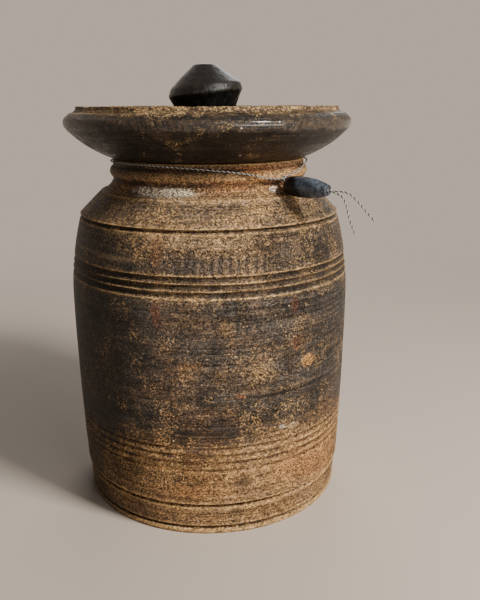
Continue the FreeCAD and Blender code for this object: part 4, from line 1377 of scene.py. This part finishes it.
# %% Finish the pot
def finish_pot(material):
    """Smoked and rubbed wood with ochre dust."""
    tree, surface, place = start_finish(material)
    spot = add_node(tree, "ShaderNodeSeparateXYZ", {0: place}).outputs
    bearing = bearing_of(tree, spot)
    height = sum_of(tree, "DIVIDE", spot["Z"], HEIGHT_OF_RAMP)
    travelled = attribute(tree, "travelled")
    lines = effect(tree, turning_lines, {"Place": place, "Travelled": travelled})
    gouge = effect(tree, turning_lines, {"Place": vector_sum(tree, "ADD", place, (2.0, 2.0, 0.0)),
                                         "Travelled": travelled, "Lines per Metre": 210.0})
    ragged = cloud(tree, place, 60.0, 4.0, detail=5.0, roughness=0.7)
    sides = pot_sides(tree, spot, bearing)
    patches = pot_patches(tree, place, height, sides)
    amount = added(tree, level_from(tree, height, GRIT_BY_HEIGHT),
                   less(tree, times(tree, patches[0], 0.14), times(tree, sides["left painted shade"], 0.03)))
    dust = effect(tree, grit, {"Place": place, "Amount": amount, "Seed": 2.0})
    edges = effect(tree, rubbed_edges,
                   {"Place": place, "Proud": attribute(tree, "proud"), "Reach": 0.32})

    waves = added(tree, times(tree, bearing, 1.9), times(tree, ragged, 8.0))
    gouged = times(tree, oval(tree, spot, bearing, ragged, (9.0, 239.0), (26.0, 12.0)),
                   between(tree, sum_of(tree, "SINE", waves), 0.0, 0.7))
    ridges = times(tree, between(tree, gouge["Lines"], 0.45, 0.8),
                   oval(tree, spot, bearing, ragged, (-40.0, 236.0), (44.0, 34.0)))
    ochre = mix(tree, sides["belly"], paint(224, 176, 112), paint(214, 172, 118))
    coats = [
        (dust["Speckle"], 0.95, ochre),
        (gouged, 0.75, paint(54, 49, 46)),
        (ridges, 0.55, paint(180, 150, 112)),
    ]
    gritty = between(tree, dust["Grain"], 0.15, 0.6, 0.35, 1.0)
    for turn, level, half_turn, half_height, strength, shown in MARKS:
        mark = oval(tree, spot, bearing, ragged, (turn, level), (half_turn, half_height))
        coats.append((times(tree, mark, gritty), strength, paint(*shown)))
    coats += [
        (dust["Pits"], 0.85, paint(22, 17, 13)),
        (edges["Worn"], 0.7, paint(220, 177, 120)),
        (edges["Dirt"], 0.55, paint(24, 18, 13)),
        # Painted shadow of the lid on the neck, under the rim.
        (sides["lid painted shadow"], 0.58, paint(54, 38, 27)),
        (dust["Specks"], 0.9, paint(228, 214, 192)),
    ]
    colour = lay_coats(tree, pot_wood(tree, place, sides, patches, ragged, lines), coats)
    colour = toned(tree, colour, added(tree, 0.20, times(tree, dust["Grain"], 1.75)))
    # Painted shade darkens the left side. The upper right is made darker as well.
    darker = less(tree, 1.0, times(tree, sides["left painted shade"], 0.46))
    darker = less(tree, darker, times(tree, sides["darker upper right"], 0.26))
    tree.links.new(toned(tree, colour, darker), surface.inputs["Base Color"])

    surface.inputs["Specular IOR Level"].default_value = 0.17
    dusty = larger(tree, patches[0], dust["Speckle"])
    tree.links.new(added(tree, 0.44, times(tree, dusty, 0.28)), surface.inputs["Roughness"])
    raise_surface(tree, surface, [
        (lines["Lines"], 0.5), (lines["Fine Lines"], 0.35), (dust["Speckle"], 0.7),
        (dust["Pits"], -1.0), (dust["Grain"], 0.6), (ragged, 0.9), (ridges, 0.8), (gouged, -0.9),
    ], 0.0009)


finish_pot(pot_finish)
print("patinated wood has", len(pot_finish.node_tree.nodes), "nodes")

# %% [markdown]
# ### Dark waxed wood
# The lid is nearly black and waxed, so it shines in broken streaks along the turning lines. Its
# widest band is the smoothest, and on the right an extra coat of wax gives it a bright streak.
# Round the lip the wax has gone and ochre grit shows. Height and distance from the axis tell these
# parts from each other.

# %% Finish the lid
def finish_lid(material):
    """Near-black waxed wood with a gritty worn lip."""
    tree, surface, place = start_finish(material)
    spot = add_node(tree, "ShaderNodeSeparateXYZ", {0: place}).outputs
    lines = effect(tree, turning_lines, {"Place": place, "Travelled": attribute(tree, "travelled"),
                                         "Lines per Metre": 380.0})
    from_axis = vector_sum(tree, "LENGTH", flattened(tree, place, 0.0))
    ragged = cloud(tree, flattened(tree, place, 3.0), 34.0, 9.0, detail=6.0, roughness=0.72)
    uneven = added(tree, spot["Z"], times(tree, less(tree, ragged, 0.5), 0.012))
    lip = times(tree, between(tree, uneven, 0.3510, 0.3560), between(tree, from_axis, 0.108, 0.1135))
    polished = times(tree, between(tree, uneven, 0.3400, 0.3435),
                     between(tree, uneven, 0.3500, 0.3465))
    amount = added(tree, 0.11, times(tree, lip, 0.45))
    dust = effect(tree, grit, {"Place": place, "Seed": 6.0, "Amount": amount})
    edges = effect(tree, rubbed_edges,
                   {"Place": place, "Proud": attribute(tree, "proud"), "Reach": 0.5})
    share = added(tree, 0.22, times(tree, lip, 0.38))
    brown = stained(tree, flattened(tree, place, 2.5), 24.0, share, 0.16)

    waxed = mix(tree, between(tree, ragged, 0.35, 0.7), paint(15, 12, 9), paint(38, 29, 21))
    colour = mix(tree, brown, waxed, paint(98, 76, 52))
    both = added(tree, lines["Lines"], lines["Fine Lines"])
    colour = toned(tree, colour, added(tree, 0.28, times(tree, both, 0.74)))
    colour = lay_coats(tree, colour, [
        (dust["Speckle"], 1.0, paint(226, 186, 130)),
        (dust["Pits"], 0.8, paint(18, 14, 11)),
        (edges["Worn"], 0.25, paint(168, 136, 98)),
        (edges["Dirt"], 0.8, paint(14, 11, 8)),
        (dust["Specks"], 0.95, paint(232, 218, 196)),
    ])
    colour = toned(tree, colour, added(tree, 0.4, times(tree, dust["Grain"], 1.2)))
    tree.links.new(colour, surface.inputs["Base Color"])

    surface.inputs["Specular IOR Level"].default_value = 0.26
    surface.inputs["Coat Roughness"].default_value = 0.17
    wax = times(tree, polished, less(tree, 0.9, times(tree, brown, 0.6)))
    wax = times(tree, wax, between(tree, spot["X"], -0.07, 0.01))
    tree.links.new(wax, surface.inputs["Coat Weight"])
    streaks = cloud(tree, flattened(tree, place, 6.0), 30.0, 5.0, detail=6.0, roughness=0.7)
    rough = between(tree, streaks, 0.38, 0.62, 0.22, 0.42)
    rough = added(tree, rough, times(tree, larger(tree, brown, dust["Speckle"]), 0.28))
    rough = times(tree, rough, less(tree, 1.0, times(tree, polished, 0.55)))
    tree.links.new(rough, surface.inputs["Roughness"])
    raise_surface(tree, surface, [
        (lines["Lines"], 0.45), (lines["Fine Lines"], 0.3), (dust["Speckle"], 0.5),
        (dust["Pits"], -0.6), (dust["Grain"], 0.5), (ragged, 0.8),
    ], 0.0006)


finish_lid(lid_finish)
print("dark waxed wood has", len(lid_finish.node_tree.nodes), "nodes")

# %% [markdown]
# ### Black waxed wood and the grey-black bead
# The knob and the bead were cut by hand and handled for years, so they are black with a soft polish,
# scratched, and brownish or grey on the edges. Neither was turned, so they get scratches in place
# of turning lines.

# %% Make the finish of handled wood
def finish_handled(material, dark, light, edge, polish, scratch_scale):
    """Black handled wood. Returns its parts by name, for a piece that adds to one of them."""
    tree, surface, place = start_finish(material)
    tone = cloud(tree, place, 160.0, 3.0, detail=6.0, roughness=0.75)
    scratch_place = vector_sum(tree, "MULTIPLY", place, scratch_scale)
    scratched = cloud(tree, scratch_place, 1.0, 4.0, detail=3.0)
    dust = effect(tree, grit, {"Place": place, "Amount": 0.06, "Seed": 9.0})
    edges = effect(tree, rubbed_edges,
                   {"Place": place, "Proud": attribute(tree, "proud"), "Reach": 0.4})
    surface.inputs["Specular IOR Level"].default_value = 0.26
    colour = lay_coats(tree, mix(tree, between(tree, tone, 0.42, 0.68), dark, light), [
        (between(tree, scratched, 0.60, 0.70), 0.4, light),
        (edges["Worn"], 0.3, edge),
        (dust["Speckle"], 0.4, edge),
    ])
    tree.links.new(colour, surface.inputs["Base Color"])
    uneven = added(tree, tone, times(tree, scratched, 0.5))
    rough = between(tree, uneven, 0.55, 0.95, polish, polish + 0.2)
    tree.links.new(rough, surface.inputs["Roughness"])
    raise_surface(tree, surface, [(scratched, 0.6), (tone, 0.9)], 0.0008)
    return {"tree": tree, "surface": surface, "place": place, "colour": colour, "rough": rough}


print("handled finish ready")

# %% [markdown]
# The knob's undercut and girdle are polished by the fingers that lift the lid, and its crown is
# duller. The bead's near end and its underside, against the knot, are painted near black as shade.

# %% Finish the knob and the bead
made = finish_handled(knob_finish, paint(10, 10, 10), paint(29, 27, 26), paint(80, 68, 54), 0.15,
                      (300.0, 300.0, 42.0))
tree = made["tree"]
height = add_node(tree, "ShaderNodeSeparateXYZ", {0: made["place"]}).outputs["Z"]
crown = between(tree, height, 0.3760, 0.3800)
duller = added(tree, made["rough"], times(tree, crown, 0.16))
tree.links.new(duller, made["surface"].inputs["Roughness"])
print("black waxed wood has", len(tree.nodes), "nodes")

made = finish_handled(bead_finish, paint(46, 50, 57), paint(98, 106, 116), paint(138, 142, 146), 0.22,
                      (240.0, 240.0, 800.0))
tree = made["tree"]
# Painted shade: the near end and the underside of the bead are painted near black.
from_near = vector_sum(tree, "SUBTRACT", made["place"], tuple(bead_near))
near_end_shade_way = tuple(bead_along + bead_up * 0.59)
near_end_shade = between(tree, vector_sum(tree, "DOT_PRODUCT", from_near, near_end_shade_way), 0.0205, 0.0150)
shaded_colour = mix(tree, times(tree, near_end_shade, 0.95), made["colour"], paint(7, 7, 8))
tree.links.new(shaded_colour, made["surface"].inputs["Base Color"])
print("grey-black wood has", len(tree.nodes), "nodes")

# %% [markdown]
# ### Twine
# One ply is nearly black and the other a greyed white. Each is spun from fibres, so its own fine
# twist shows as slanted lines. The distance travelled along the line, kept as an attribute, carries
# that twist along every bend.

# %% Finish the twine
FIBRE_TURN = 0.00055


def finish_ply(material, deep, bright):
    """Spun fibre with a slanted twist."""
    tree, surface, place = start_finish(material)
    twist = sum_of(tree, "SINE", times(tree, attribute(tree, "travelled"), 2 * math.pi / FIBRE_TURN))
    fuzz = cloud(tree, place, 2600.0, 5.0, detail=2.0)
    level = added(tree, times(tree, twist, 0.25), fuzz)
    tree.links.new(mix(tree, between(tree, level, 0.25, 0.85), deep, bright), surface.inputs["Base Color"])
    tree.links.new(between(tree, fuzz, 0.3, 0.7, 0.7, 0.95), surface.inputs["Roughness"])
    raise_surface(tree, surface, [(level, 1.0)], 0.00012)


finish_ply(dark_ply, paint(16, 15, 16), paint(44, 42, 42))
finish_ply(pale_ply, paint(156, 153, 148), paint(226, 223, 217))
print("plies ready")

# %% [markdown]
# ## The stage
# The pot stands on a plain pale floor. Close to the pot the floor is an ordinary matt surface that
# takes its shadow. Farther out it fades into the same plain colour as the world behind, so that no
# horizon cuts across the picture. The world shows that colour to the camera and to reflections, and
# gives the pot only a low, even fill.

# %% Lay the floor and set the world
BACKGROUND = paint(197, 182, 167)
FLOOR_RADIUS = 6.0


def seen_directly(tree):
    """1 for rays that show a background: from the camera, or off gloss or through glass."""
    rays = add_node(tree, "ShaderNodeLightPath").outputs
    both = sum_of(tree, "MAXIMUM", rays["Is Camera Ray"], rays["Is Glossy Ray"])
    return sum_of(tree, "MAXIMUM", both, rays["Is Transmission Ray"])


def lay_floor():
    """A wide disc that fades into the background colour."""
    bpy.ops.mesh.primitive_circle_add(vertices=96, radius=FLOOR_RADIUS, fill_type="NGON")
    floor = bpy.context.object
    floor.name = "pale_floor"
    material = bpy.data.materials.new("pale_floor")
    material.use_nodes = True
    tree = material.node_tree
    tree.nodes.clear()
    place = add_node(tree, "ShaderNodeTexCoord").outputs["Object"]
    far = between(tree, vector_sum(tree, "LENGTH", place), 0.35, 1.25)
    matt = add_node(tree, "ShaderNodeBsdfDiffuse", {"Color": BACKGROUND})
    plain = add_node(tree, "ShaderNodeEmission", {"Color": BACKGROUND})
    share = sum_of(tree, "MULTIPLY", far, seen_directly(tree))
    both = add_node(tree, "ShaderNodeMixShader", {0: share, 1: matt.outputs[0], 2: plain.outputs[0]})
    add_node(tree, "ShaderNodeOutputMaterial", {"Surface": both.outputs[0]})
    floor.data.materials.append(material)


def set_world(fill):
    """The background colour to the eye, and a low fill for everything else."""
    world = bpy.data.worlds.new("plain_studio")
    scene.world = world
    world.use_nodes = True
    tree = world.node_tree
    tree.nodes.clear()
    seen = add_node(tree, "ShaderNodeBackground", {"Color": BACKGROUND, "Strength": 1.0})
    light = add_node(tree, "ShaderNodeBackground",
                     {"Color": paint(238, 240, 244), "Strength": fill})
    both = add_node(tree, "ShaderNodeMixShader",
                    {0: seen_directly(tree), 1: light.outputs[0], 2: seen.outputs[0]})
    add_node(tree, "ShaderNodeOutputWorld", {"Surface": both.outputs[0]})


lay_floor()
set_world(0.10)
print("floor of", FLOOR_RADIUS, "m radius, background", [round(v, 3) for v in BACKGROUND[:3]])

# %% [markdown]
# ## The light
# The main lamp hangs to the right, in front and above. It rakes down over the rings, puts the lid's
# shadow on the neck and the bead's on the shoulder, and leaves the left side dark. A wide low one
# stands in front and to the right, as a window would, and shows as the streak on the lid. A third
# one stands behind, so that the back can be seen as well.

# %% Hang the lamps
def hang_lamp(name, place, aim, size, power, colour):
    """A soft lamp of a given width and height at a place, turned to an aim."""
    data = bpy.data.lights.new(name, "AREA")
    data.shape = "RECTANGLE"
    data.size, data.size_y = size
    data.energy = power
    data.color = colour
    lamp = bpy.data.objects.new(name, data)
    scene.collection.objects.link(lamp)
    lamp.location = place
    lamp.rotation_euler = (Vector(aim) - Vector(place)).to_track_quat("-Z", "Y").to_euler()


hang_lamp("key", (0.89, -0.72, 1.18), (0, 0, 0.24), (0.34, 0.34), 33.0, (1.0, 0.98, 0.94))
hang_lamp("window", (1.0, -1.22, 0.40), (0, 0, 0.30), (1.0, 0.32), 11.0, (1.0, 0.985, 0.96))
hang_lamp("behind", (0.05, 1.50, 1.05), (0, 0, 0.20), (1.0, 0.8), 13.0, (0.98, 0.99, 1.0))
